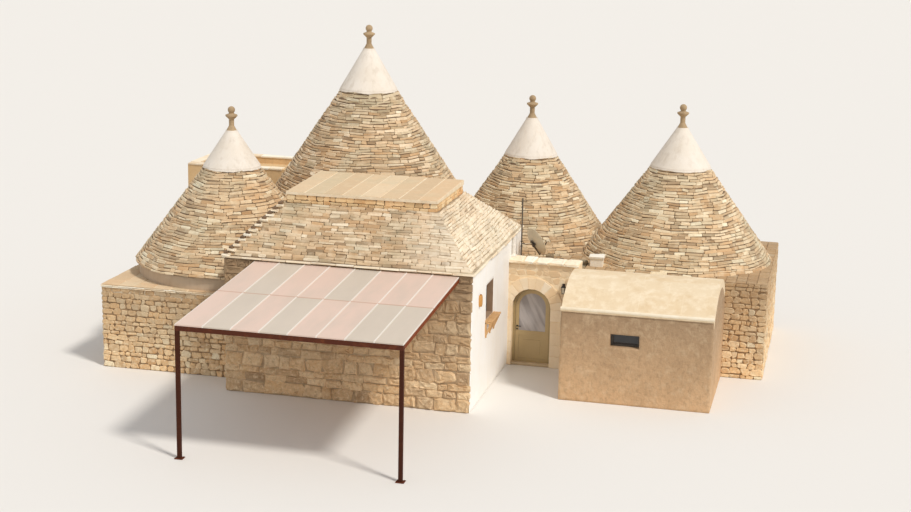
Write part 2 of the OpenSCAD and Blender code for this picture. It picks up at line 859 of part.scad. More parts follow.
// Lever handles on both faces of the leaf's free stile
module door_handle() {
    hx = door_cx - leaf_r + stile_w / 2;
    color("dimgray") for (side = [-1, 1])
        translate([hx, (leaf_y0 + leaf_y1 + side * leaf_t) / 2, handle_z]) rotate([-side * 90, 0, 0]) {
            cylinder(h = rose_t, r = rose_r);
            cylinder(h = handle_reach, r = knuckle_r);
            translate([-knuckle_r, -knuckle_r, handle_reach - lever_t])
                cube([lever_l, 2 * knuckle_r, lever_t]);
        }
}

// Rooms of the back and right trulli: square below and round in the springing course
module room_top(ax, ay, foot_r) {
    rooms(side_eave_z - ring_h);
    intersection() {
        rooms(side_eave_z + e);
        translate([ax, ay, 0]) cylinder(h = side_eave_z + e, r = foot_r - cone_t);
    }
}

module back_walls() {
    color("tan") difference() {
        union() {
            block(back_x0, back_x1, fy1, back_y1, 0, side_eave_z);
            block(back_wing_x0, back_x0 + e, core_half, back_y1, 0, side_eave_z);
        }
        room_top(back_ax, back_ay, back_foot_r);
        passages(pass_h);
    }
}

module back_cone() {
    color("wheat") difference() {
        stone_cone(back_ax, back_ay, side_eave_z, back_foot_r, back_tip_z, back_cap_z);
        cone_hollow(back_ax, back_ay, side_eave_z, back_foot_r - cone_t, back_cap_z);
        core_mass();
        right_cone_mass();
    }
}

module back_cap() {
    color("white") plaster_cap(back_ax, back_ay, back_cap_z, back_cap_r, back_tip_z);
}

module back_pinnacle() {
    color("khaki") pinnacle(back_ax, back_ay, back_tip_z);
}

module right_walls() {
    color("tan") difference() {
        block(right_x0, right_x1, right_y0, right_y1, 0, side_eave_z);
        room_top(right_ax, right_ay, right_foot_r);
        passages(pass_h);
    }
}

module right_cone_mass() {
    stone_cone(right_ax, right_ay, side_eave_z, right_foot_r, right_tip_z, right_cap_z);
}

module right_cone() {
    color("wheat") difference() {
        right_cone_mass();
        cone_hollow(right_ax, right_ay, side_eave_z, right_foot_r - cone_t, right_cap_z);
    }
}

module right_cap() {
    color("white") plaster_cap(right_ax, right_ay, right_cap_z, right_cap_r, right_tip_z);
}

module right_pinnacle() {
    color("khaki") pinnacle(right_ax, right_ay, right_tip_z);
}

module annex_front_wall() {
    color("burlywood") difference() {
        block(annex_x0, annex_x1, annex_y0, annex_y0 + annex_wall_t, 0, annex_eave_z - annex_vault_t);
        block(annex_win_x0, annex_win_x0 + annex_win_w, annex_y0 - e, annex_y0 + annex_wall_t + e,
            annex_win_z, annex_win_z + annex_win_h);
    }
}

// Segment of the vault's section, as deep as the annex, less t all along its back
module annex_section(x0, x1, t) {
    intersection() {
        translate([x0, annex_y0 + annex_d / 2, annex_cz]) rotate([0, 90, 0])
            cylinder(h = x1 - x0, r = annex_r - t);
        block(x0, x1, annex_y0, right_y0, 0, far);
    }
}

// Two end walls that rise to the vault's underside
module annex_end_walls() {
    color("burlywood") for (x = [annex_x0, annex_x1 - annex_wall_t]) intersection() {
        annex_section(x, x + annex_wall_t, annex_vault_t);
        block(x, x + annex_wall_t, annex_y0 + annex_wall_t, right_y0, 0, far);
    }
}

// Barrel vault with a drip edge along its front eave
module annex_vault() {
    color("linen") {
        difference() {
            annex_section(annex_x0, annex_x1, 0);
            annex_section(annex_x0 - e, annex_x1 + e, annex_vault_t);
            block(annex_x0 - e, annex_x1 + e, annex_y0 - e, right_y0 + e, 0, annex_eave_z - annex_vault_t);
        }
        translate([annex_x0, 0, 0]) rotate([90, 0, 90]) linear_extrude(annex_w)
            polygon([[annex_y0 + sink, annex_eave_z - vault_lip_h], [annex_y0 - vault_lip / 2,
                annex_eave_z - vault_lip_h], [annex_y0 - vault_lip, annex_eave_z - vault_lip_h / 2],
                [annex_y0 - vault_lip / 2, annex_eave_z], [annex_y0 + sink, annex_eave_z]]);
    }
}

// Window: a frame with one pane
module annex_window() {
    y0 = annex_y0 + win_set;
    x1 = annex_win_x0 + annex_win_w;
    z1 = annex_win_z + annex_win_h;
    mid = y0 + win_frame_t / 2;
    color("slategray") difference() {
        block(annex_win_x0, x1, y0, y0 + win_frame_t, annex_win_z, z1);
        for (y = [y0 - e, mid + pane_t / 2])
            block(annex_win_x0 + win_frame_w, x1 - win_frame_w, y, y + (win_frame_t - pane_t) / 2 + e,
                annex_win_z + win_frame_w, z1 - win_frame_w);
    }
}

module side_window() {
    x1 = fx1 - win_set;
    x0 = x1 - win_frame_t;
    z1 = side_win_z + side_win_h;
    mid = (x0 + x1) / 2;
    mid_y = (side_win_y0 + side_win_y1) / 2;
    color("slategray") difference() {
        block(x0, x1, side_win_y0, side_win_y1, side_win_z, z1);
        for (x = [x0 - e, mid + pane_t / 2], y = [[side_win_y0 + win_frame_w, mid_y - mullion_w / 2],
            [mid_y + mullion_w / 2, side_win_y1 - win_frame_w]])
            block(x, x + (win_frame_t - pane_t) / 2 + e, y[0], y[1],
                side_win_z + win_frame_w, z1 - win_frame_w);
    }
}

// Board on brackets under the side window
module window_ledge() {
    y0 = side_win_y0 - ledge_side;
    y1 = side_win_y1 + ledge_side;
    step = (y1 - y0 - bracket_t) / (bracket_n - 1);
    z = side_win_z - ledge_t;
    color("peru") {
        block(fx1, fx1 + ledge_reach, y0, y1, z, side_win_z);
        for (i = [0 : bracket_n - 1]) translate([0, y0 + bracket_t + i * step, 0]) rotate([90, 0, 0])
            linear_extrude(bracket_t) polygon([[fx1, z - bracket_h], [fx1 + ledge_reach - ledge_t, z],
                [fx1 + ledge_reach - ledge_t, z + sink], [fx1, z + sink]]);
    }
}

module pergola_posts() {
    color("saddlebrown") for (x = [perg_x0, perg_x1])
        block(x - perg_side, x + perg_side, perg_y0 - perg_side, perg_y0 + perg_side, 0, perg_post_z);
}

// Sloping bar of the pergola from the front beam to the wall
module rafter(x) {
    translate([x - beam_w / 2, 0, 0]) rotate([90, 0, 90]) linear_extrude(beam_w)
        polygon([[perg_y0, perg_front_z - beam_h], [fy0, perg_back_z - beam_h],
            [fy0, perg_back_z - panel_seat], [perg_y0, perg_front_z - panel_seat]]);
}

// Purlin across the rafters, at a distance behind the front beam
module purlin(d) {
    z = perg_front_z + d * perg_slope - panel_seat;
    block(perg_x0, perg_x1, perg_y0 + d, perg_y0 + d + purlin_w, z - purlin_h, z);
}

module pergola_frame() {
    color("saddlebrown") {
        block(perg_x0 - perg_side, perg_x1 + perg_side, perg_y0 - perg_side, perg_y0 + perg_side,
            perg_post_z, perg_front_z - perg_side * perg_slope - panel_seat);
        block(perg_x0 - perg_side, perg_x1 + perg_side, fy0 - beam_w, fy0,
            perg_back_z - beam_h, perg_back_z - beam_w * perg_slope - panel_seat);
        rafter(perg_x0);
        rafter((perg_x0 + perg_x1) / 2);
        rafter(perg_x1);
        for (i = [1 : purlin_n]) purlin(i * perg_d / (purlin_n + 1));
    }
}

// Roof sheet of the pergola with raised strips over the joints
module pergola_panels() {
    x0 = perg_x0 - perg_side;
    x1 = perg_x1 + perg_side;
    col = (x1 - x0) / panel_cols;
    y0 = perg_y0 - perg_side;
    z0 = perg_front_z - perg_side * perg_slope;
    color("mistyrose") {
        panel_sheet(x0, x1, y0, fy0, z0, perg_back_z, panel_roof_t);
        for (i = [1 : panel_cols - 1])
            panel_sheet(x0 + i * col - panel_gap / 2, x0 + i * col + panel_gap / 2, y0, fy0,
                z0 + panel_roof_t - sink, perg_back_z + panel_roof_t - sink, strip_t);
    }
}

// Sloping sheet between two heights
module panel_sheet(x0, x1, y0, y1, z0, z1, t) {
    translate([x0, 0, 0]) rotate([90, 0, 90]) linear_extrude(x1 - x0)
        polygon([[y0, z0], [y1, z1], [y1, z1 + t], [y0, z0 + t]]);
}

// Half-round shade, open above and below, with its back along x = 0
module clay_shade() {
    r = lamp_w / 2;
    difference() {
        cylinder(h = lamp_h, r = r);
        difference() {
            translate([0, 0, -e]) cylinder(h = lamp_h + 2 * e, r = r - shade_t);
            block(-r, shade_t, -r, r, -2 * e, lamp_h + 2 * e);
        }
        block(-r - e, 0, -r - e, r + e, -2 * e, lamp_h + 2 * e);
    }
}

// Four-sided lantern under an arm, with its plate's back along y = 0
module lantern() {
    z = lamp_h - lantern_body_h - lantern_lid_h;
    corner = lantern_r / sqrt(2);
    block(-lantern_plate_w / 2, lantern_plate_w / 2, -shade_t, 0, 0, lamp_h);
    block(-lantern_arm / 2, lantern_arm / 2, -lamp_t / 2 - lantern_arm, 0,
        lamp_h - lantern_arm, lamp_h);
    translate([0, -corner - shade_t + sink, z]) rotate(45) {
        cylinder(h = lantern_body_h, r1 = lantern_foot_r, r2 = lantern_r, $fn = 4);
        translate([0, 0, lantern_body_h - sink])
            cylinder(h = lantern_lid_h, r1 = lantern_r, r2 = lantern_arm, $fn = 4);
    }
}

// Clay shade on the side wall and a lantern on the entrance wall
module wall_lamps() {
    color("goldenrod") {
        translate([fx1, fy0 + side_lamp_y + lamp_w / 2, side_lamp_z]) clay_shade();
        translate([hall_x1 - door_lamp_x - lamp_w / 2, hall_y0, door_lamp_z]) lantern();
    }
}

// Shallow bowl of the dish, its back at the origin, open along +Z
module dish_bowl() {
    bowl_r = (pow(dish_d / 2, 2) + pow(dish_depth, 2)) / (2 * dish_depth);
    intersection() {
        translate([0, 0, bowl_r]) difference() {
            sphere(bowl_r);
            sphere(bowl_r - dish_t);
        }
        cylinder(h = dish_depth + dish_t, r = dish_d / 2);
    }
}

// Round dish on a mast that stands on the hall's roof
module roof_dish() {
    x = fx1 + mast_x;
    y = hall_iy0 + mast_y;
    z = hall_roof_z + dish_z;
    color("gainsboro") {
        translate([x, y, hall_roof_z]) cylinder(h = mast_h, r = mast_d / 2);
        translate([x, y, hall_roof_z]) cylinder(h = foot_t, r = foot_r);
        translate([x, y, z]) rotate([90, 0, arm_turn]) cylinder(h = dish_arm, r = mast_d / 3);
        translate([x + dish_arm * sin(arm_turn), y - dish_arm * cos(arm_turn), z])
            rotate([90 - dish_lean, 0, dish_turn]) translate([0, 0, -dish_t / 2]) dish_bowl();
    }
}

// Rain pipe clipped to the side wall, from the eave to a block on the coping
module rain_pipe() {
    x = fx1 + pipe_gap + pipe_r;
    y = hall_y0 + pipe_y;
    z = parapet_z + coping_t;
    side = pipe_r + pipe_foot_lip;
    color("white") {
        block(fx1, x + side, y - side, y + side, z, z + pipe_foot_h);
        translate([x, y, z + pipe_foot_h - sink]) cylinder(h = eave_z - z - pipe_foot_h + sink, r = pipe_r);
        for (k = [z + pipe_foot_h + clip_end, eave_z - clip_end - clip_h])
            block(fx1, x, y - pipe_r / 2, y + pipe_r / 2, k, k + clip_h);
    }
}

// Small limewashed vent with a cover, beside the right cone's foot
module roof_vent() {
    x = right_x0 + vent_x;
    y = right_y0 + vent_y;
    z = side_eave_z + vent_h;
    color("ivory") difference() {
        union() {
            block(x, x + vent_w, y, y + vent_d, side_eave_z, z);
            block(x - vent_lip, x + vent_w + vent_lip, y - vent_lip, y + vent_d + vent_lip,
                z, z + vent_lid_t);
        }
        right_cone_mass();
    }
}

floor();
front_wall();
front_left_wall();
front_right_wall();
front_roof();
roof_slabs();
core_walls();
main_cone();
main_cap();
main_pinnacle();
left_walls();
left_terrace();
left_drum();
left_cone();
left_cap();
left_pinnacle();
store_walls();
store_roof();
entrance_left_pier();
entrance_right_pier();
entrance_arch();
hall_roof();
parapet_coping();
door_surround();
door_frame();
door_leaf();
door_glass();
door_handle();
back_walls();
back_cone();
back_cap();
back_pinnacle();
right_walls();
right_cone();
right_cap();
right_pinnacle();
annex_front_wall();
annex_end_walls();
annex_vault();
annex_window();
side_window();
pergola_posts();
pergola_frame();
pergola_panels();
wall_lamps();
roof_dish();
window_ledge();
rain_pipe();
roof_vent();
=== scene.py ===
# Looks of the trullo house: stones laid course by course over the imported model, plaster,
# slabs, door, windows, pergola, lamps and dish, with the camera, lights and floor.
import random
from math import cos, hypot, pi, radians, sin, sqrt, tau

import bmesh
import bpy
from mathutils import Euler, Matrix, Vector, noise


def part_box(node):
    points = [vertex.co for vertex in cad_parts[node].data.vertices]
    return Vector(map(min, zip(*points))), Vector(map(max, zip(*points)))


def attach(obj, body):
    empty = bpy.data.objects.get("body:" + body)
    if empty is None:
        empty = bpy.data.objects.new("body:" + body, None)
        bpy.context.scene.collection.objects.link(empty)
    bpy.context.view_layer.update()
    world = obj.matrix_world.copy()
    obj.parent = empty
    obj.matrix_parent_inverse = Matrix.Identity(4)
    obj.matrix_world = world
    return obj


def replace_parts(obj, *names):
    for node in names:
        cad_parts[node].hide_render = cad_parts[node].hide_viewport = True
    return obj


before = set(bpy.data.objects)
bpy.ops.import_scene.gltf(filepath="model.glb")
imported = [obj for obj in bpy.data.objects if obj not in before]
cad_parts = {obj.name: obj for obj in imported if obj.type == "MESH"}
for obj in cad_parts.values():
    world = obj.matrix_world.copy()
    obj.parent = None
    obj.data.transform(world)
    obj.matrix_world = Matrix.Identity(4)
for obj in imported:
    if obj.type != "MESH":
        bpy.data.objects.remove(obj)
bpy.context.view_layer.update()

HOUSE, DOOR = "house", "door"


def vec(x, y, z):
    return Vector((x, y, z))


X, Y, UP = vec(1, 0, 0), vec(0, 1, 0), vec(0, 0, 1)

# Sizes that the boxes of the nodes don't give, in metres
COLLAR_TOP = 4.09
CAP_LIP = 0.035
# The pyramid's rise, and the run of its front and side slopes and of its back slope
HIP_RISE, HIP_IN, HIP_BACK = 1.27, 1.20, 2.00
BAND_SET = 0.06
DOOR_R, LEAF_T, SURROUND_W = 0.54, 0.045, 0.34
DRUM_R, STORE_RIM = 2.58, 0.25
EAVE_Z, VAULT_T = 2.44, 0.22
# How far a course of slabs wavers
WAVE = 0.011
MAST_X, MAST_Y, MAST_R = 0.17, 0.33, 0.02
DISH_UP, DISH_ARM, DISH_R = 0.66, 0.36, 0.4
ARM_TURN, DISH_TURN, DISH_LEAN = (radians(a) for a in (120, 134, 24))


# Boxes and levels of the model

class Box:
    """Lowest and highest corner of one node or of several, and the middle along X and Y."""

    def __init__(self, *nodes):
        corners = [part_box(n) for n in nodes]
        self.x0, self.y0, self.z0 = (min(c[0][i] for c in corners) for i in range(3))
        self.x1, self.y1, self.z1 = (max(c[1][i] for c in corners) for i in range(3))
        self.x, self.y = (self.x0 + self.x1) / 2, (self.y0 + self.y1) / 2


front = Box("front_wall", "front_right_wall")
core = Box("core_walls")
left = Box("left_walls", "left_terrace")
store = Box("store_walls", "store_roof")
hall = Box("entrance_left_pier", "entrance_right_pier")
deck = Box("hall_roof")
coping = Box("parapet_coping")
back = Box("back_walls")
right = Box("right_walls")
annex = Box("annex_front_wall", "annex_end_walls")
vault = Box("annex_vault")
slabs = Box("roof_slabs")
side_win = Box("side_window")
annex_win = Box("annex_window")
leaf = Box("door_leaf")
door = Box("door_frame")
perg = Box("pergola_panels")
HIP_Z = front.z1 + HIP_RISE
DOOR_X = door.x
SPRING_Z = door.z1 - DOOR_R
mast_x, mast_y = front.x1 + MAST_X, hall.y1 + MAST_Y


class Cone:
    """Round stone roof below its plaster cap, read from the boxes of its nodes."""

    def __init__(self, name, foot_z=None):
        cap = Box(name + "_cap")
        self.x, self.y = cap.x, cap.y
        self.cap_z, self.tip_z = cap.z0, cap.z1
        self.foot_z = foot_z or Box(name + "_cone").z0
        self.slope = ((cap.x1 - cap.x0) / 2 - CAP_LIP) / (self.tip_z - self.cap_z)

    def radius(self, z):
        return self.slope * (self.tip_z - max(z, self.foot_z))

    def holds(self, p, margin=0):
        """Whether a point lies inside the cone by more than the margin."""
        return p.z <= self.tip_z and hypot(p.x - self.x, p.y - self.y) < self.radius(p.z) - margin

    def place(self, z0, z1):
        """Map of one course: way round, height and distance out, to a point."""
        mid_r = self.radius((z0 + z1) / 2)

        def at(s, z, out):
            turn = s / mid_r
            z += WAVE * (sin(3 * turn + 2.1 * z) + sin(8 * turn - 3.7 * z)
                         + 0.7 * sin(17 * turn + 5.3 * z))
            r = self.radius(z) + out
            return vec(self.x + r * cos(turn), self.y + r * sin(turn), z)

        return at


main_cone = Cone("main", COLLAR_TOP)
left_cone, back_cone, right_cone = Cone("left"), Cone("back"), Cone("right")


def in_front_block(p, margin=0.02):
    """Whether a point lies inside the front block or its pyramid roof."""
    if not (front.x0 + margin < p.x < front.x1 - margin and front.y0 + margin < p.y < front.y1):
        return False
    rise = (p.z - front.z1) / HIP_RISE
    inset = max(0, rise) * HIP_IN
    return rise < 1 and front.x0 + inset < p.x < front.x1 - inset and p.y > front.y0 + inset \
        and p.y < front.y1 - max(0, rise) * HIP_BACK


def in_core(p, margin=0.02):
    """Whether a point lies inside the square room under the tall cone or that cone."""
    square = max(abs(p.x), abs(p.y)) < core.x1 - margin and p.z < core.z1
    return square or (p.z >= core.z1 and main_cone.holds(p, margin))


# Materials

def colours(text):
    """Linear colours from hex values as a screen shows them."""
    return [tuple(((v / 255 + 0.055) / 1.055) ** 2.4 for v in bytes.fromhex(word)) for word in text.split()]


def scaled(colour, k):
    return tuple(min(1, v * k) for v in colour)


class Shader:
    """One material with a Principled shader and short ways to add nodes."""

    def __init__(self, name, roughness=0.9, metallic=0, gloss=0.5):
        self.mat = bpy.data.materials.new(name)
        self.mat.use_nodes = True
        self.tree = self.mat.node_tree
        self.bsdf = self.tree.nodes["Principled BSDF"]
        self.feed(self.bsdf, {"Roughness": roughness, "Metallic": metallic, "Specular IOR Level": gloss})
        self.coords = self.node("TexCoord").outputs["Object"]

    def feed(self, node, inputs):
        """Link each input to a socket, or set it to a number, a vector or a colour."""
        for key, value in inputs.items():
            socket = node.inputs[key]
            if isinstance(value, bpy.types.NodeSocket):
                self.tree.links.new(value, socket)
            else:
                socket.default_value = (*value, 1) if socket.type == "RGBA" else value

    def node(self, kind, inputs=None, **settings):
        made = self.tree.nodes.new("ShaderNode" + kind)
        for key, value in settings.items():
            setattr(made, key, value)
        self.feed(made, inputs or {})
        return made

    def calc(self, operation, a, b=0):
        return self.node("Math", {0: a, 1: b}, operation=operation).outputs[0]

    def noise(self, scale, detail=5, rough=0.6, shift=0, stretch=(1, 1, 1), turn=0):
        source = self.coords
        if turn:
            source = self.node("Mapping", {"Rotation": (0, turn, 0), "Vector": source}).outputs[0]
        placed = self.node("Mapping", {"Scale": stretch, "Location": (shift, shift * 0.7, shift * 1.3),
                                       "Vector": source})
        return self.node("TexNoise", {"Scale": scale, "Detail": detail, "Roughness": rough,
                                      "Vector": placed.outputs[0]}).outputs["Fac"]

    def ramp(self, value, stops, interpolation="LINEAR"):
        made = self.node("ValToRGB", {"Fac": value})
        elements = made.color_ramp.elements
        while len(elements) < len(stops):
            elements.new(0.5)
        for element, (place, colour) in zip(elements, stops):
            element.position, element.color = place, (*colour, 1)
        made.color_ramp.interpolation = interpolation
        return made.outputs["Color"]

    def grey(self, value, low, high, a=0, b=1):
        """Value between two limits turned into a grey from a to b."""
        return self.ramp(value, [(low, (a, a, a)), (high, (b, b, b))])

    def mix(self, factor, a, b):
        return self.node("Mix", {0: factor, 6: a, 7: b}, data_type="RGBA").outputs[2]

    def patch(self, body, colour, share, low, high, *cloud, **more):
        """Lay a second colour over a body in clouds of noise, up to a share of it."""
        return self.mix(self.grey(self.noise(*cloud, **more), low, high, 0, share), body, colour)

    def along(self, axis, start, end):
        """Value that grows from 0 to 1 between two places along X, Y or Z."""
        split = self.node("SeparateXYZ", {"Vector": self.coords})
        return self.node("MapRange", {"Value": split.outputs[axis], "From Min": start,
                                      "From Max": end}).outputs["Result"]

    def wash(self, start):
        """Patchy share of old limewash, growing from a place along X."""
        reach = 1.5
        patchy = self.grey(self.noise(2.6, 6, 0.65, 5.2), 0.3, 0.62, 0.25, 0.85)
        return self.mix(self.along("X", start, start + reach), (0, 0, 0), patchy)

    def peel(self):
        """Slight orange peel of paint, as a bump."""
        return self.noise(120, 3, 0.5), 0.12, 0.001

    def done(self, colour, *bumps):
        """Finish with a colour and with bumps over one another: height, strength and distance."""
        self.feed(self.bsdf, {"Base Color": colour})
        under = {}
        for height, strength, distance in bumps:
            made = self.node("Bump", {"Height": height, "Strength": strength, "Distance": distance, **under})
            under = {"Normal": made.outputs["Normal"]}
        self.feed(self.bsdf, under)
        return self.mat


def laid_stone(name, dark, mid, light, warm, cool, joint=0.55, washed=None, graded=None, hewn=1):
    """Single stones: a tone and a tint for each, mottling, lichen patches and darker flanks, the last a
    painted shade in the joints.

    washed is an X from which old limewash covers the stones more and more, graded a height
    up to which they turn darker and greyer, a painted shade under the eave over painted bounce
    light at the foot, hewn how coarse their faces are."""
    s = Shader(name, 0.92)
    paint = s.node("Attribute", attribute_name="stone").outputs["Color"]
    tone, lift, tint = s.node("SeparateColor", {"Color": paint}).outputs
    body = s.ramp(tone, [(0, dark), (0.5, mid), (1, light)])
    body = s.mix(s.grey(tint, 0.6, 0.95, 0, 0.5), body, warm)
    body = s.mix(s.grey(tint, 0.06, 0.3, 0.35, 0), body, cool)
    body = s.patch(body, dark, 0.35, 0.42, 0.8, 14, 6, 0.65)
    body = s.patch(body, cool, 0.5, 0.5, 0.68, 0.75, shift=3.1)
    body = s.patch(body, warm, 0.4, 0.55, 0.72, 1.1, shift=9.4)
    body = s.patch(body, light, 0.5, 0.52, 0.75, 3.3, shift=7.7)
    # Stone sides darken towards the joint: painted shade in the gaps between stones.
    flank = scaled(dark, 0.55)
    if hewn > 1:
        body = s.patch(body, scaled(dark, 0.8), 0.6, 0.5, 0.66, 11, 6, 0.75, 4.4)
        body = s.patch(body, light, 0.6, 0.5, 0.66, 12, 6, 0.75, 8.8)
    # Darker and greyer towards the top: painted shade under the eave, painted bounce light near the foot.
    if graded:
        body = s.mix(s.grey(s.along("Z", 0, graded), 0.12, 1, 0, 0.95), body, scaled(dark, 0.62))
    if washed:
        amount = s.wash(washed)
        body, flank = (s.mix(amount, *pair) for pair in zip((body, flank), colours("fcf0d8 dcc8a8")))
    # joint sets how much of the painted flank shade shows deep in a joint.
    return s.done(s.mix(s.grey(lift, 0, 0.9, joint, 1), flank, body),
                  (s.noise(70, 5, 0.7), 0.35, 0.004 * hewn), (s.noise(16, shift=1.7), 0.5, 0.012 * hewn))


def joint_fill(name, base, dark, washed=None):
    """Earth and mortar between stones, on the model's own faces."""
    s = Shader(name, 0.97)
    fill = s.patch(dark, base, 1, 0.35, 0.7, 5, 6, 0.65)
    if washed:
        fill = s.mix(s.wash(washed), fill, *colours("e2d0b0"))
    return s.done(fill, (s.noise(45, 5, 0.7), 0.5, 0.008))


def plaster(name, base, dark, streak, streaks=0.3, trowel=0.3):
    """Old limewash or plaster: soft clouds, rain streaks and a trowelled surface."""
    s = Shader(name, 0.88)
    clouds = s.patch(base, dark, 0.7, 0.35, 0.72, 1.6)
    rain = s.patch(clouds, streak, streaks, 0.5, 0.75, 3.0, shift=4.0, stretch=(2.4, 2.4, 0.35))
    return s.done(rain, (s.noise(55, 5, 0.7), trowel, 0.003), (s.noise(5, 4, 0.5, 2.0), trowel, 0.012))


def roughcast(name, low, high, pit, chalk, top):
    """Coarse thrown plaster, warmer at its foot, with darker pits and chalky crumbs."""
    s = Shader(name, 0.95)
    body = s.mix(s.grey(s.along("Z", 0, top), 0, 1), low, high)
    body = s.patch(body, pit, 0.42, 0.48, 0.7, 9, 5, 0.7, stretch=(1, 1, 0.7))
    body = s.patch(body, chalk, 0.42, 0.5, 0.7, 6, 5, 0.7, 3.3, (1, 1, 0.8))
    body = s.patch(body, pit, 0.22, 0.45, 0.7, 1.2, 4, shift=6.1)
    return s.done(body, (s.noise(48, 5, 0.7), 0.5, 0.006), (s.noise(8, 5, 0.65, 2.0), 0.8, 0.035))


def slab_coat(name, base, dark, pale, row, length):
    """Thin limewash over slabs laid in rows along X, their joints and tones showing through."""
    s = Shader(name, 0.9)
    placed = s.node("Mapping", {"Location": (0.3, 0.13, 0), "Vector": s.coords}).outputs[0]
    bricks = s.node("TexBrick", {
        "Vector": placed, "Color1": base, "Color2": dark, "Mortar": scaled(base, 1.06), "Scale": 1,
        "Mortar Size": 0.012, "Mortar Smooth": 0.4, "Bias": -0.1, "Brick Width": length, "Row Height": row},
        offset=0.37)
    body = s.mix(s.grey(s.noise(2.4, 6, 0.65), 0.35, 0.7, 0.25, 0.85), base, bricks.outputs["Color"])
    body = s.patch(body, pale, 0.6, 0.46, 0.68, 3.6, 6, 0.7, 2.9)
    body = s.patch(body, scaled(dark, 0.92), 0.55, 0.5, 0.7, 2.2, 6, 0.7, 7.3)
    return s.done(body, (s.noise(50, 5, 0.7), 0.3, 0.003), (bricks.outputs["Fac"], 0.25, 0.004))


def painted(name, base, worn, roughness=0.45, metallic=0, wear=0.25, gloss=0.5):
    """Paint on wood or steel with faint wear and a slight orange peel."""
    s = Shader(name, roughness, metallic, gloss)
    return s.done(s.patch(base, worn, wear, 0.5, 0.8, 6, 7, 0.7), s.peel())


def panel_sheets(name, pinkish, greyish, seam_tint, bar_tint, box, rows):
    """Sheets in two rows of columns, each of one of two tints, with pale seams and fine ribs."""
    s = Shader(name, 0.42)
    count = len(rows[0])
    across = s.along("X", box.x0, box.x1)
    tints = [s.ramp(across, [(i / count, pinkish if cell == "p" else greyish) for i, cell in enumerate(row)],
                    "CONSTANT") for row in rows]
    y = s.node("SeparateXYZ", {"Vector": s.coords}).outputs["Y"]
    depth = s.calc("SUBTRACT", y, box.y)
    body = s.mix(s.grey(depth, 0, 0.001), *tints)
    body = s.patch(body, scaled(greyish, 0.86), 0.45, 0.4, 0.75, 1.4, stretch=(1.6, 0.5, 1))
    seam = s.calc("PINGPONG", s.calc("MULTIPLY", across, count), 0.5)
    body = s.mix(s.grey(seam, 0.022, 0.03, 0.75, 0), body, seam_tint)
    body = s.mix(s.grey(s.calc("ABSOLUTE", depth), 0.02, 0.034, 0.6, 0), body, bar_tint)
    rib = s.node("TexWave", {"Scale": 16, "Vector": s.coords}, wave_type="BANDS", bands_direction="X")
    s.feed(s.bsdf, {"Transmission Weight": 0.04})
    return s.done(body, (rib.outputs["Fac"], 0.3, 0.003))


def dish_paint(name, paint, worn, steel, x, y):
    """Weathered paint on the bowl and darker steel near the mast that stands at x, y."""
    s = Shader(name, 0.5)
    split = s.node("SeparateXYZ", {"Vector": s.coords}).outputs
    flat = s.node("CombineXYZ", {"X": split["X"], "Y": split["Y"]}).outputs[0]
    away = s.node("VectorMath", {0: flat, 1: (x, y, 0)}, operation="DISTANCE").outputs["Value"]
    coat = s.patch(paint, worn, 0.4, 0.5, 0.8, 6, 7, 0.7)
    rust = s.patch(steel, scaled(worn, 0.5), 0.6, 0.45, 0.8, 9, 6, 0.7, 2.2)
    return s.done(s.mix(s.grey(away, 0.1, 0.102), rust, coat), s.peel())


def beam_paint_front_shade(name, dark, light, worn, y):
    """Paint that is darker on the beam along the front edge, up to y, than on the others: painted shade on
    the front beam.
    """
    s = Shader(name, 0.7, gloss=0.2)
    # Darker paint on the beam along the front edge: painted shade.
    paint = s.mix(s.grey(s.along("Y", y, y + 0.01), 0, 1), dark, light)
    return s.done(s.patch(paint, worn, 0.5, 0.5, 0.8, 6, 7, 0.7), s.peel())


def pane(name, tint, reflection_streaks=None, roughness=0.08, gloss=0.6):
    """Window glass with faint dust, and slanting streaks of a second tint where one is given, a painted
    reflection.
    """
    s = Shader(name, roughness, gloss=gloss)
    colour = s.patch(tint, scaled(tint, 1.2), 0.6, 0.35, 0.7, 3.5, 4, stretch=(1, 1, 0.5))
    if reflection_streaks:
        # Slanting lighter streaks: painted reflection.
        colour = s.patch(colour, reflection_streaks, 0.8, 0.44, 0.6, 2.6, 3, 0.5, 0, (0.35, 1, 2.6), -1.1)
    return s.done(colour)


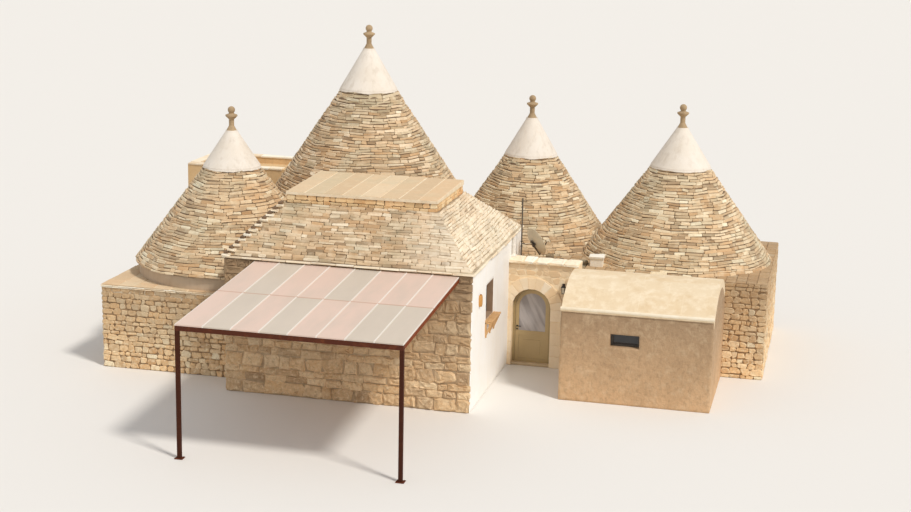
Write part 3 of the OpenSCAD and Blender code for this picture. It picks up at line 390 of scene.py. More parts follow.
# Each material's name and its colours, and what its maker takes after them
ROOF, TINTS = "a28768 ddc19a fbeacc", "d6a874 b8b094"
MAKERS = {
    laid_stone: (
        ("roof_stones", f"{ROOF} {TINTS}"),
        ("pyramid_roof_stones", f"{ROOF} {TINTS}", 0.55, 2.5),
        ("band_stones", "cca472 f4ce98 fde8be e4a666 ccb890", 0.7),
        ("wall_stones", "b89772 eec999 fee6be deb480 ccb492", 0.9, None, 3.6, 4.0),
        ("rubble_stones", "c09b71 fcd49e fff2d0 e4b47c c6b698", 0.72, None, 3.4, 1.6),
        ("entrance_stones", "dcbc92 f0d4ac fae6c4 eec898 e2ceac", 0.85),
        # The heap's dark tones are painted shade of the shadowed nook between the cones.
        ("heap_stones", f"5c4832 8c7050 bea27c {TINTS}", 0.5),
        ("limewashed_stones", "e2d4bc f4ecdb fcf7ec eedec2 e8e0ce", 0.9),
        ("doorway_stones", "eccea4 fae4c2 fff0d6 f6d6a8 f0e0c4", 0.9),
        ("dressed_stones", "e6ceac fff0d4 fffaea f2d6ac e8dabe", 0.75),
        ("roof_slabs_stone", "c4a682 dcc09a e8d1ae e6c094 c8be9e", 0.75)),
    joint_fill: (
        ("dry_joints", "92795d 68543f"),
        ("pyramid_joints", "92795d 68543f", 2.5),
        # Dark fill between the hip teeth: painted shade.
        ("hip_gaps", "8c7055 624e3c"),
        ("earth_mortar", "b09270 8c7254"),
        ("entrance_mortar", "fdeaca f0d6ae"),
        ("lime_mortar", "ceb492 ac9272"),
        ("pale_mortar", "f6e5c7 e6d1b0")),
    plaster: (
        ("limewash", "fefcf7 faf5ea e8d8bc", 0.16),
        ("cap_plaster", "ece2d4 ded0bc b8a68e", 0.35, 0.5),
        # Paler limewash on the vault's lip, partly a painted highlight where the edge faces the sun.
        ("vault_edge_limewash", "f6ead2 ead7b6 dec6a0"),
        ("old_plaster", "e2c08f cca878 b89a74", 0.4, 0.5),
        ("drum_plaster", "ccb89e b8a084 9c846a", 0.3, 0.5),
        ("pinnacle_stone", "baa07c 987e5e 705a40", 0.5, 0.6),
        ("stone_floor", "c4ac8a a88e6e 967e60", 0.2, 0.3),
        ("threshold_stone", "ceb896 b8a07e a08868")),
    painted: (
        ("door_paint", "bca476 ceb88c", 0.4),
        # The frame's paint is a darker copy of the leaf's: painted shade on the frame.
        ("door_frame_paint", "a89268 bca67c"),
        ("foot_plate_paint", "5c2c18 7c4224", 0.7, 0, 0.5, 0.2),
        ("post_paint", "422012 68381e", 0.7, 0, 0.5, 0.15),
        ("handle_metal", "423e3a 6e6860", 0.3, 0.8),
        ("window_paint", "4a443e 686056"),
        ("lamp_metal", "966830 b68646", 0.45, 0.4),
        ("clay_shade", "c68e4a d6a86c", 0.8, 0, 0.5),
        ("lantern_metal", "3a322c 5c5042", 0.45, 0.5),
        ("ledge_wood", "cea26e 9e7042", 0.75, 0, 0.8),
        ("window_lining", "a0846a 826850", 0.75, 0, 0.7),
        ("mast_steel", "544c44 7c6046", 0.5, 0.6),
        ("white_pipe", "ece6dc d2c8b8", 0.4)),
    pane: (
        ("lantern_glass", "cec4ac"),
        ("door_panes", "9e9896 c0bab8", 0.2, 0.3),
        # Near-black tint of the annex window's glass: painted shade of the unlit room behind it.
        ("window_panes", "2e2e30"),
        ("side_window_panes", "806852 927e70", 0.5, 0.1)),
    roughcast: (("annex_roughcast", "dcb488 a88c6d 8c7052 dec4a0", 2.4),),
    slab_coat: (("vault_limewash", "e7d2b0 e0c49a f8ead0", 0.62, 1.1),),
    panel_sheets: (("pergola_sheets", "e3c7b6 d4c6b5 f6f0e6 ba805c", perg, ("pgpgppgg", "pgppgppp")),),
    # The front beam's darker paint is painted shade.
    beam_paint_front_shade: (("pergola_paint", "522818 7a3a1b 96522a", Box("pergola_frame").y0 + 0.11),),
    dish_paint: (("dish_paint", "cec0a6 a08664 544c44", mast_x, mast_y),),
}
MAT = {name: maker(name, *colours(text), *more)
       for maker, rows in MAKERS.items() for name, text, *more in rows}
MAT["low_roof_stones"] = laid_stone("low_roof_stones", *(scaled(c, 1.09) for c in colours(ROOF)),
                                    *colours(TINTS), 0.6)

NODE_MATERIALS = {
    "dry_joints": "main_cone left_cone back_cone right_cone", "pyramid_joints": "front_roof",
    "earth_mortar": "left_walls core_walls back_walls right_walls",
    "lime_mortar": "front_wall front_left_wall", "annex_roughcast": "annex_front_wall annex_end_walls",
    "entrance_mortar": "entrance_left_pier entrance_right_pier entrance_arch parapet_coping door_surround",
    "limewash": "front_right_wall", "old_plaster": "store_walls store_roof",
    "pale_mortar": "roof_slabs left_terrace hall_roof",
    "cap_plaster": "main_cap left_cap back_cap right_cap",
    "pinnacle_stone": "main_pinnacle left_pinnacle back_pinnacle right_pinnacle",
    "vault_limewash": "annex_vault", "drum_plaster": "left_drum", "stone_floor": "floor",
    "door_paint": "door_leaf", "door_frame_paint": "door_frame", "door_panes": "door_glass",
    "handle_metal": "door_handle", "window_paint": "annex_window side_window",
    "pergola_paint": "pergola_frame", "post_paint": "pergola_posts", "pergola_sheets": "pergola_panels",
    "lamp_metal": "wall_lamps", "dish_paint": "roof_dish", "ledge_wood": "window_ledge",
    "white_pipe": "rain_pipe", "limewashed_stones": "roof_vent",
}


def dress_nodes():
    """Give every carried-over node its material."""
    for key, names in NODE_MATERIALS.items():
        for name in names.split():
            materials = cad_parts[name].data.materials
            materials.clear()
            materials.append(MAT[key])


# Objects and faces

def placed(name, data):
    """New object of the scene for a mesh, a light or a camera."""
    made = bpy.data.objects.new(name, data)
    bpy.context.scene.collection.objects.link(made)
    return made


def ride(name, mesh, slot, body=HOUSE):
    """Object for a mesh that rides on a body; the slot is not used."""
    made = placed(name, mesh)
    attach(made, body)
    return made


def hoop(a, b, n):
    """Quads between two rings of n points that start at a and at b."""
    return [(a + i, a + (i + 1) % n, b + (i + 1) % n, b + i) for i in range(n)]


def net(starts, n):
    """Quads between neighbouring rows of n points, which start where starts says."""
    return [(a + i, b + i, b + i + 1, a + i + 1) for a, b in zip(starts, starts[1:]) for i in range(n - 1)]


def on_right(x):
    """Map for a face that looks along +X: Y, height and distance out, to a point."""
    return lambda s, t, d: vec(x + d, s, t)


def on_front(y):
    """Map for a face that looks along -Y: X, height and distance out, to a point."""
    return lambda s, t, d: vec(s, y - d, t)


def on_top(z):
    """Map for a level top: X, Y and height over it, to a point."""
    return lambda s, t, d: vec(s, t, z + d)


# Stones

class Stones:
    """Many separate stones gathered in one mesh, each with its own tone and tint."""

    def __init__(self, name, material, seed, slot):
        self.name, self.material, self.slot = name, material, slot
        self.rng = random.Random(seed)
        self.verts, self.faces, self.paint = [], [], []

    def add(self, place, s0, s1, t0, t1, out, chamfer=0.012, sink=0.03, lean=0, rugged=0.15, cut=None,
            boss=0):
        """One stone: flanks from inside the wall, a chamfer all round, and a slightly uneven face.

        cut is how much of its short side each corner may lose, boss how far a rough-hewn face may
        swell in its middle."""
        rng = self.rng
        tone, tint = min(1, max(0, rng.gauss(0.5, 0.24))), rng.random()
        out *= rng.uniform(0.75, 1.25)
        w, h = s1 - s0, t1 - t0
        outline = self.outline(s0, s1, t0, t1, rugged, cut)
        cs, ct = (s0 + s1) / 2, (t0 + t1) / 2
        n = len(outline)
        rings = [len(self.verts) + ring * n for ring in range(6)]
        ks, kt = (1 - 2 * chamfer / max(size, 3 * chamfer) for size in (w, h))

        def point(s, t, d, lift=1):
            self.verts.append(place(s, t, d))
            self.paint.append((tone, lift, tint, 1))

        # lift runs from 0 deep in the joint to 1 on the face; the stone materials paint shade where it is
        # low.
        for depth, lift in ((-sink, 0), (out - chamfer * 0.8, 0.55), (out, 1)):
            for s, t in outline:
                if lift == 1:
                    s, t = cs + (s - cs) * ks, ct + (t - ct) * kt
                d = depth + (lean * (t - ct) / h if lift else 0)
                point(s, t, d + (rng.uniform(-0.25, 0.25) * out if lift == 1 else 0), lift)
        self.faces += hoop(rings[0], rings[1], n) + hoop(rings[1], rings[2], n)
        if not boss:
            self.faces.append(tuple(range(rings[2], rings[3])))
            return
        mid_s, mid_t = cs + rng.uniform(-0.2, 0.2) * w, ct + rng.uniform(-0.2, 0.2) * h
        for shrink in (0.74, 0.42):
            for s, t in outline:
                point(mid_s + (s - mid_s) * shrink * rng.uniform(0.85, 1.15),
                      mid_t + (t - mid_t) * shrink * rng.uniform(0.85, 1.15), out + rng.uniform(0, boss))
        point(mid_s, mid_t, out + rng.uniform(0.2, 1) * boss)
        for a, b, c, d in hoop(rings[2], rings[3], n) + hoop(rings[3], rings[4], n):
            self.faces += [(a, b, c), (a, c, d)]
        self.faces.extend((rings[4] + i, rings[4] + (i + 1) % n, rings[5]) for i in range(n))

    def outline(self, s0, s1, t0, t1, rugged, limits):
        """Corner points of a stone, rectangular or with knocked-off corners."""
        rng = self.rng
        side = min(s1 - s0, t1 - t0)
        j = rugged * side
        if not limits:
            return [(s + rng.uniform(-j, j) * 0.5, t + rng.uniform(-j, j) * 0.35)
                    for s, t in ((s0, t0), (s1, t0), (s1, t1), (s0, t1))]
        cut = [rng.uniform(*limits) * side for _ in range(4)]
        points = [(s0 + cut[0], t0), (s1 - cut[1], t0), (s1, t0 + cut[1]), (s1, t1 - cut[2]),
                  (s1 - cut[2], t1), (s0 + cut[3], t1), (s0, t1 - cut[3]), (s0, t0 + cut[0])]
        return [(s + rng.uniform(-j, j) * 0.3, t + rng.uniform(-j, j) * 0.3) for s, t in points]

    def build(self):
        mesh = bpy.data.meshes.new(self.name)
        mesh.from_pydata(self.verts, [], self.faces)
        paint = mesh.color_attributes.new("stone", "FLOAT_COLOR", "POINT")
        paint.data.foreach_set("color", [v for colour in self.paint for v in colour])
        mesh.materials.append(MAT[self.material])
        ride(self.name, mesh, self.slot)


def split(a, b, size, rng):
    """Cut the stretch from a to b into lengths within the size's limits."""
    low, high = size
    cuts, at = [a], a
    while b - at > high + low:
        at += rng.uniform(low, high)
        cuts.append(at)
    if b - at > high:
        cuts.append((at + b) / 2)
    cuts.append(b)
    shortest = 0.02
    return [(p, q) for p, q in zip(cuts, cuts[1:]) if q - p > shortest]


def free(a, b, t0, t1, holes):
    """Stretches between a and b that no hole crosses at this height."""
    spans, overlap, shortest = [(a, b)], 0.03, 0.04
    for s0, s1, z0, z1 in holes:
        if z1 > t0 + overlap and z0 < t1 - overlap:
            spans = [part for p, q in spans for part in ((p, min(q, s0)), (max(p, s1), q))
                     if part[1] - part[0] > shortest]
    return spans


def lay(stones, place_at, t0, t1, span, course, length, joint=0.012, holes=(), keep=None, uneven=0.05,
        **shape):
    """Lay courses from t0 to t1; span gives each course's ends, keep says which stones show."""
    for ta, tb in split(t0, t1, course, stones.rng):
        place = place_at(ta, tb)
        for a, b in free(*span(ta, tb), ta, tb, holes):
            for sa, sb in split(a, b, length, stones.rng):
                if keep and not keep(place((sa + sb) / 2, (ta + tb) / 2, 0)):
                    continue
                low, high = (stones.rng.uniform(-uneven, uneven) * (tb - ta) for _ in range(2))
                stones.add(place, sa + joint / 2, sb - joint / 2, ta + low + joint / 2, tb + high - joint / 2,
                           **shape)


# Direction along each upright face, and out of it
SIDES = {"front": (X, -Y), "back": (-X, Y), "right": (Y, X), "left": (-Y, -X)}


def wall(stones, side, at, a, b, z0, z1, course, length, wrap=0.02, **style):
    """Stones on an upright wall face. a and b are its ends along X or Y, from low to high."""
    along, out = SIDES[side]
    start = b if along.x + along.y < 0 else a
    origin = vec(start, at, 0) if along.x else vec(at, start, 0)
    size = b - a

    def place(s, t, d):
        return origin + along * min(max(s, -wrap), size + wrap) + UP * max(0, t) + out * d

    lay(stones, lambda ta, tb: place, z0, z1, lambda ta, tb: (-wrap, size + wrap), course, length, **style)


def clad(name, material, seed, slot, style, *faces):
    """Piece of stones on wall faces: side, place, ends and levels of each, and what differs on it."""
    stones = Stones(name, material, seed, slot)
    for *face, own in (face if isinstance(face[-1], dict) else (*face, {}) for face in faces):
        wall(stones, *face, **dict(style, **own))
    stones.build()


SLATES = dict(joint=0.008, out=0.034, lean=0.03, chamfer=0.009, rugged=0.4, cut=(0.06, 0.3), uneven=0.1)


def cone_roof(stones, cone, hidden):
    """Courses of thin slabs round a cone, from its foot to just under its cap."""
    def span(z0, z1):
        shift = stones.rng.uniform(0, 0.4)
        return shift, shift + tau * cone.radius((z0 + z1) / 2)

    lay(stones, cone.place, cone.foot_z, cone.cap_z + 0.02, span, (0.058, 0.09), (0.15, 0.5),
        keep=lambda p: not hidden(p), **SLATES)
    stones.build()


def pyramid_face(stones, x, y, along, up_in, width, *ends_in):
    """Courses on one slope of the truncated pyramid, with jagged ends over the hips."""
    slant = hypot(HIP_RISE, up_in.length)
    up = (up_in + UP * HIP_RISE) / slant
    out = along.cross(up)
    rng = stones.rng

    def place(s, t, d):
        t += WAVE * (sin(1.3 * s + 1.1 * t) + 0.8 * sin(3.1 * s - 2.3 * t))
        return vec(x, y, front.z1) + along * s + up * t + out * d

    def span(ta, tb):
        k = (ta + tb) / 2 / slant
        return ends_in[0] * k - rng.uniform(0, 0.05), width - ends_in[1] * k + rng.uniform(0, 0.05)

    lay(stones, lambda ta, tb: place, 0.05, slant, span, (0.066, 0.105), (0.15, 0.48),
        keep=lambda p: not in_core(p), **SLATES)


def hip_teeth():
    """Ends of the courses standing out over the front's left hip like teeth, with dark blocks between them as
    painted shade in the gaps.
    """
    gaps = Stones("hip_gap_shade_blocks", "hip_gaps", 16, "roof_stone")
    teeth = Stones("hip_teeth_stones", "dressed_stones", 17, "roof_stone")
    pitch, tooth = 0.115, 0.058
    corner = vec(front.x0, front.y0, front.z1)
    for i in range(int(HIP_RISE / pitch)):
        k = (i + 0.35) * pitch / HIP_RISE
        x, y, z = (v + rise * k for v, rise in zip(corner, (HIP_IN, HIP_IN, HIP_RISE)))
        teeth.add(on_front(y), x - teeth.rng.uniform(0.1, 0.13), x + teeth.rng.uniform(0.06, 0.12), z,
                  z + tooth, out=0.1, chamfer=0.008, sink=0.2, rugged=0.3, cut=(0.05, 0.2))
        # Dark blocks in the gaps between the teeth: painted shade.
        gaps.add(on_front(y), x - 0.075, x + 0.035, z + tooth, z + pitch, out=0.05, chamfer=0.006, sink=0.2,
                 rugged=0.1)
    teeth.build()
    gaps.build()


def roofs():
    """Stones of the pyramid, the tall cone and the three lower cones."""
    pyramid = Stones("pyramid_stones", "pyramid_roof_stones", 11, "roof_stone")
    w, d = front.x1 - front.x0, front.y1 - front.y0
    pyramid_face(pyramid, front.x0, front.y0, X, Y * HIP_IN, w, HIP_IN, HIP_IN)
    pyramid_face(pyramid, front.x1, front.y0, Y, -X * HIP_IN, d, HIP_IN, HIP_BACK)
    pyramid_face(pyramid, front.x1, front.y1, -X, -Y * HIP_BACK, w, HIP_IN, HIP_IN)
    pyramid_face(pyramid, front.x0, front.y1, -Y, X * HIP_IN, d, HIP_BACK, HIP_IN)
    pyramid.build()
    hip_teeth()

    def under_pyramid(p):
        return in_front_block(p, -0.05) or (p.z < HIP_Z and in_front_block(p - UP * 0.05))

    def collar(s, z, out):
        r = core.x1 + out
        return vec(r * cos(s / core.x1), r * sin(s / core.x1), z)

    tall = Stones("tall_cone_stones", "roof_stones", 12, "roof_stone")
    lay(tall, lambda a, b: collar, core.z1, COLLAR_TOP, lambda a, b: (0, tau * core.x1), (0.1, 0.15),
        (0.2, 0.45), joint=0.01, keep=lambda p: not under_pyramid(p), out=0.03, chamfer=0.01, rugged=0.2)
    cone_roof(tall, main_cone, under_pyramid)
    for name, cone, seed, hidden in (
            ("left", left_cone, 13, lambda p: in_front_block(p) or in_core(p)),
            ("back", back_cone, 14, lambda p: in_core(p) or right_cone.holds(p, 0.05)),
            ("right", right_cone, 15, lambda p: back_cone.holds(p, 0.05))):
        cone_roof(Stones(name + "_cone_stones", "low_roof_stones", seed, "roof_stone"), cone, hidden)


RUBBLE = dict(course=(0.1, 0.19), length=(0.12, 0.34), joint=0.011, out=0.028, chamfer=0.018, rugged=0.5,
              cut=(0.12, 0.34))
SQUARED = dict(course=(0.17, 0.36), length=(0.22, 0.62), joint=0.006, out=0.02, chamfer=0.014, rugged=0.5,
               cut=(0.04, 0.2), uneven=0.07, boss=0.045)
FLUSH = dict(course=(0.11, 0.22), length=(0.14, 0.36), joint=0.02, out=0.008, chamfer=0.01, rugged=0.5,
             cut=(0.15, 0.4), wrap=0)
BANDED = dict(course=(0.09, 0.14), length=(0.14, 0.34), joint=0.009, out=0.02, chamfer=0.01, rugged=0.35,
              cut=(0.06, 0.3))
EAVE = dict(course=(0.06, 0.07), length=(0.35, 0.7), joint=0.012, out=0.075, chamfer=0.01, rugged=0.2)


def vault_underside(y):
    """Height of the vault's underside over a place along Y."""
    half, rise = (vault.y1 - annex.y0) / 2, vault.z1 - EAVE_Z
    r = (half * half + rise * rise) / (2 * rise)
    return vault.z1 - r + sqrt((r - VAULT_T) ** 2 - (y - (vault.y1 + annex.y0) / 2) ** 2)


def walls():
    """Stones of all upright walls, seen from every side."""
    side_wall = on_right(front.x1)
    trowelled("side_wall_limewash", "limewash", "limewash", side_wall, front.y0, hall.y0, 0, front.z1,
              [(side_win.y0, side_win.y1, side_win.z0, side_win.z1)])
    trowelled("side_wall_upper_limewash", "limewash", "limewash", side_wall, hall.y0, front.y1, deck.z1,
              front.z1)

    low, rim = back.z1, left.z1
    under_rim, jamb = rim - 0.06, 0.12
    beside_left = dict(keep=lambda p: not left_cone.holds(p))
    beside_back = dict(keep=lambda p: not back_cone.holds(p))
    clad("front_wall_stones", "wall_stones", 22, "wall_stone", SQUARED,
         ("front", front.y0, front.x0, front.x1, 0, front.z1),
         ("left", front.x0, front.y0, left.y0, 0, front.z1),
         ("left", front.x0, left.y0, core.y0, rim, front.z1, dict(beside_left, wrap=0)),
         ("back", front.y1, core.x1, front.x1, low, front.z1))
    clad("core_wall_stones", "wall_stones", 23, "wall_stone", SQUARED,
         ("left", core.x0, core.y0, left.y1, rim, core.z1, beside_left),
         ("right", core.x1, front.y1, core.y1, low, core.z1, beside_back),
         ("back", core.y1, core.x0, back.x0, 0, core.z1),
         ("back", core.y1, back.x0, core.x1, low, core.z1, beside_back))
    clad("left_wall_stones", "rubble_stones", 24, "wall_stone", RUBBLE,
         ("front", left.y0, left.x0, front.x0, 0, under_rim),
         ("left", left.x0, left.y0, left.y1, 0, under_rim),
         ("left", store.x0, store.y0, store.y1, 0, rim),
         ("back", store.y1, store.x0, core.x0, 0, rim))
    clad("back_wall_stones", "rubble_stones", 25, "wall_stone", RUBBLE,
         ("back", back.y1, back.x0, back.x1, 0, low),
         ("left", back.x0, core.y1, back.y1, 0, low),
         ("right", back.x1, right.y1, back.y1, 0, low),
         ("back", right.y1, right.x0, right.x1, 0, low),
         ("right", right.x1, right.y0, right.y1, 0, low),
         ("front", right.y0, annex.x1, right.x1, 0, low),
         ("front", right.y0, annex.x0, annex.x1, EAVE_Z, low))
    doorway = (DOOR_X - DOOR_R - jamb - hall.x0, DOOR_X + DOOR_R + SURROUND_W - hall.x0, 0, SPRING_Z)
    over_arch = dict(holes=[doorway], keep=lambda p: p.z < SPRING_Z or
                     hypot(p.x - DOOR_X, p.z - SPRING_Z) > DOOR_R + SURROUND_W)
    clad("entrance_wall_stones", "entrance_stones", 26, "wall_stone", FLUSH,
         ("front", hall.y0, hall.x0, hall.x1, 0, hall.z1, over_arch),
         ("back", hall.y1, hall.x0, hall.x1, deck.z1, hall.z1))

    trowelled("annex_front_roughcast", "annex_roughcast", "wall_stone", on_front(annex.y0), annex.x0,
              annex.x1, 0, EAVE_Z - 0.07, [(annex_win.x0, annex_win.x1, annex_win.z0, annex_win.z1)], *CAST)
    gable("annex_left_roughcast", annex.x0, -1, hall.y0)
    gable("annex_right_roughcast", annex.x1, 1, annex.y1)


def paving(stones, x0, x1, y0, y1, z, columns, lengths, keep=None, rise=0, joint=0.022, out=0.012):
    """Slabs in columns along Y, on a top that may rise a little from y0 to y1."""
    width = (x1 - x0) / columns

    def place(s, t, d):
        return vec(s, t, z + rise * (t - y0) / (y1 - y0) + d)

    for i in range(columns):
        xa = x0 + i * width
        for ya, yb in split(y0, y1, lengths, stones.rng):
            if not keep or keep(place(xa + width / 2, (ya + yb) / 2, 0)):
                stones.add(place, xa + joint / 2, xa + width - joint / 2, ya + joint / 2, yb - joint / 2,
                           out=out, chamfer=0.008, sink=0.01, rugged=0.05)


def tops():
    """Band and slabs of the pyramid, terrace, hall roof and low roofs."""
    inset = HIP_IN + BAND_SET
    x0, x1 = front.x0 + inset, front.x1 - inset
    y0, y1 = front.y0 + inset, front.y1 - HIP_BACK - BAND_SET
    clad("band_stones", "band_stones", 31, "roof_stone", BANDED,
         ("front", y0, x0, x1, HIP_Z, slabs.z0), ("right", x1, y0, y1, HIP_Z, slabs.z0),
         ("left", x0, y0, y1, HIP_Z, slabs.z0),
         ("back", y1, x0, x1, HIP_Z, slabs.z0, dict(keep=lambda p: not in_core(p))))

    flat, thickness = Stones("top_slabs", "roof_slabs_stone", 32, "slab_stone"), 0.07
    paving(flat, slabs.x0, slabs.x1, slabs.y0, slabs.y1, slabs.z0 + thickness, 8, (3.2, 4.2),
           rise=slabs.z1 - slabs.z0 - thickness, joint=0.04)
    flat.build()

    def open_terrace(p):
        return hypot(p.x - left_cone.x, p.y - left_cone.y) > DRUM_R - 0.3 and not in_core(p)

    lap = 0.03
    terrace = Stones("terrace_slabs", "roof_slabs_stone", 33, "slab_stone")
    paving(terrace, left.x0 - lap, front.x0, left.y0 - lap, left.y1, left.z1, 8, (0.35, 0.7), open_terrace)
    paving(terrace, hall.x0, deck.x1, deck.y0, deck.y1, deck.z1, 5, (0.3, 0.6))
    terrace.build()

    def beside_cones(p):
        return not (back_cone.holds(p, 0.12) or right_cone.holds(p, 0.12) or in_core(p, -0.05))

    rooms = Stones("low_roof_stones", "rubble_stones", 35, "wall_stone")
    for box, y0, columns in ((back, front.y1, 16), (right, right.y0, 18)):
        paving(rooms, box.x0, box.x1, y0, box.y1, box.z1, columns, (0.18, 0.36), beside_cones, joint=0.016,
               out=0.02)
    rooms.build()

    # Its stones are coloured dark as painted shade of the nook behind the coping.
    heap = Stones("hall_roof_rubble", "heap_stones", 36, "wall_stone")
    rows, pitch, half, gap = 3, 0.17, 0.08, 0.012
    for i in range(rows):
        y = deck.y1 - 0.12 - pitch * i
        for xa, xb in split(hall.x0 + 0.75, hall.x1, (0.16, 0.34), heap.rng):
            if not back_cone.holds(vec((xa + xb) / 2, y, deck.z1), 0.1):
                heap.add(on_top(deck.z1), xa + gap, xb - gap, y - half, y + half, chamfer=0.03, sink=0,
                         out=heap.rng.uniform(0.1, 0.26) - 0.04 * i, rugged=0.5, cut=(0.15, 0.4))
    heap.build()


def edges():
    """Eave of the front block, coping of the hall, and rims of the store and the left terrace."""
    edge = Stones("eave_and_coping_stones", "dressed_stones", 34, "slab_stone")
    for side, at, a, b in (("front", front.y0, front.x0, front.x1), ("right", front.x1, front.y0, front.y1),
                           ("left", front.x0, front.y0, core.y0)):
        wall(edge, side, at, a, b, front.z1, front.z1 + 0.06, wrap=0.07, **EAVE)
    lumpy = dict(EAVE, out=0.055, chamfer=0.016, rugged=0.5, cut=(0.05, 0.25), boss=0.02, wrap=0)
    for side, at in (("front", hall.y0), ("back", hall.y1)):
        wall(edge, side, at, hall.x0, hall.x1, coping.z0, coping.z1, **lumpy)
    for xa, xb in split(hall.x0, hall.x1, (0.32, 0.6), edge.rng):
        edge.add(on_top(coping.z1), xa + 0.006, xb - 0.006, hall.y0 - 0.06, hall.y1 + 0.05, out=0.02,
                 rugged=0.3, cut=(0.04, 0.16), boss=0.03)
    width, side, gap = STORE_RIM, 0.02, 0.005
    lengths, lap = (0.4, 0.75), dict(out=0.03, chamfer=0.01, sink=0.02, rugged=0.08)
    for y in (store.y0, store.y1 - width):
        for xa, xb in split(store.x0, store.x1, lengths, edge.rng):
            if not main_cone.holds(vec(xb, y + width / 2, store.z1), -0.05):
                edge.add(on_top(store.z1), xa + gap, xb - gap, y - side, y + width + side, **lap)
    for x in (store.x0, store.x1 - width):
        for ya, yb in split(store.y0 + width + 0.03, store.y1 - width - 0.03, lengths, edge.rng):
            if not main_cone.holds(vec(x + width, ya, store.z1), -0.05):
                edge.add(on_top(store.z1), x - side, x + width + side, ya + gap, yb - gap, **lap)
    for side, at, a, b in (("front", left.y0, left.x0, front.x0), ("left", left.x0, left.y0, left.y1)):
        wall(edge, side, at, a, b, left.z1 - 0.08, left.z1 - 0.01, **dict(EAVE, length=(0.3, 0.6), out=0.05))
    edge.build()


def door_stones():
    """Pale dressed stones round the doorway, on jambs and arch."""
    ring = Stones("doorway_stones", "doorway_stones", 41, "surround_stone")
    y, arc = Box("door_surround").y0, pi * DOOR_R

    def place(s, t, d):
        if s < SPRING_Z:
            x, z = DOOR_X - DOOR_R - t, s
        elif s < SPRING_Z + arc:
            angle = pi - (s - SPRING_Z) / DOOR_R
            x, z = DOOR_X + (DOOR_R + t) * cos(angle), SPRING_Z + (DOOR_R + t) * sin(angle)
        else:
            x, z = DOOR_X + DOOR_R + t, 2 * SPRING_Z + arc - s
        return vec(max(x, front.x1 + 0.004), y - d, z)

    gap = 0.005
    for a, b, count in ((0, SPRING_Z, 5), (SPRING_Z, SPRING_Z + arc, 11),
                        (SPRING_Z + arc, 2 * SPRING_Z + arc, 5)):
        size = (b - a) / count
        for i in range(count):
            ring.add(place, a + i * size + gap, a + (i + 1) * size - gap, 0,
                     SURROUND_W + ring.rng.uniform(-0.03, 0.01), out=0.01, chamfer=0.007, sink=0.02,
                     rugged=0.05)
    ring.build()


# Coats, mouldings and turned pieces

# How deep the edge of a coat goes into the wall, and the annex's coat: lift, relief, step and grain
SUNK = -0.004
CAST = (0.012, 0.007, 0.05, 0.006)


def lines(a, b, step, marks=()):
    """Grid lines from a to b that also follow both sides of each mark."""
    edge = 0.015
    ends = sorted([a, b, *marks])
    found = set()
    for low, high in zip(ends, ends[1:]):
        inner = high - low - 2 * edge
        count = max(1, round(inner / step))
        found.update((low, low + edge, high - edge, high))
        found.update(low + edge + inner * i / count for i in range(count))
    return sorted(found)


def lumps(s, t, relief, grain=0):
    """Unevenness of a hand-laid coat: wide swells, smaller ones and, where asked, a rough grain."""
    swell = noise.noise(vec(s * 1.9, t * 1.9, 3)) + 0.5 * noise.noise(vec(s * 6, t * 6, 9))
    return relief * swell + (grain * noise.noise(vec(s * 15, t * 15, 5)) if grain else 0)


def trowelled(name, material, slot, place, s0, s1, t0, t1, holes=(), lift=0.012, relief=0.007, step=0.07,
              grain=0):
    """Hand-laid coat over a face, gently uneven, with rounded edges that turn back to the wall."""
    ts = lines(t0, t1, step, [v for h in holes for v in h[2:]])
    spots = [(s, t) for s in lines(s0, s1, step, [v for h in holes for v in h[:2]]) for t in ts]

    def edge(s, t):
        return s in (s0, s1) or t in (t0, t1) or any(h[0] <= s <= h[1] and h[2] <= t <= h[3] for h in holes)

    def inside(face):
        s, t = ((spots[face[0]][k] + spots[face[2]][k]) / 2 for k in (0, 1))
        return any(h[0] < s < h[1] and h[2] < t < h[3] for h in holes)

    verts = [place(s, t, SUNK if edge(s, t) else lift + lumps(s, t, relief, grain)) for s, t in spots]
    faces = [face for face in net(range(0, len(spots), len(ts)), len(ts)) if not inside(face)]
    finish(name, verts, faces, material, slot)


def gable(name, x, out, end):
    """Roughcast on an end wall of the annex, up to the curve of its vault's underside."""
    lift, relief, step, grain = CAST
    columns, rows = round((end - annex.y0) / step), round(vault.z1 / step)
    verts = []
    for i in range(columns + 1):
        y = annex.y0 + (end - annex.y0) * i / columns
        for j in range(rows + 1):
            z = vault_underside(y) * j / rows
            bare = i in (0, columns) or j in (0, rows)
            verts.append(vec(x + out * (SUNK if bare else lift + lumps(y, z, relief, grain)), y, z))
    faces = [face[::out] for face in net(range(0, len(verts), rows + 1), rows + 1)]
    finish(name, verts, faces, "annex_roughcast", "wall_stone")


def finish(name, verts, faces, materials, slot, body=HOUSE, picks=None):
    """Mesh object of the given faces, smooth unless its materials are picked face by face."""
    used = sorted({i for face in faces for i in face})
    place = {old: new for new, old in enumerate(used)}
    mesh = bpy.data.meshes.new(name)
    mesh.from_pydata([verts[i] for i in used], [], [tuple(place[i] for i in face) for face in faces])
    for key in materials.split():
        mesh.materials.append(MAT[key])
    if picks:
        mesh.polygons.foreach_set("material_index", picks)
    mesh.polygons.foreach_set("use_smooth", [not picks] * len(faces))
    return ride(name, mesh, slot, body)


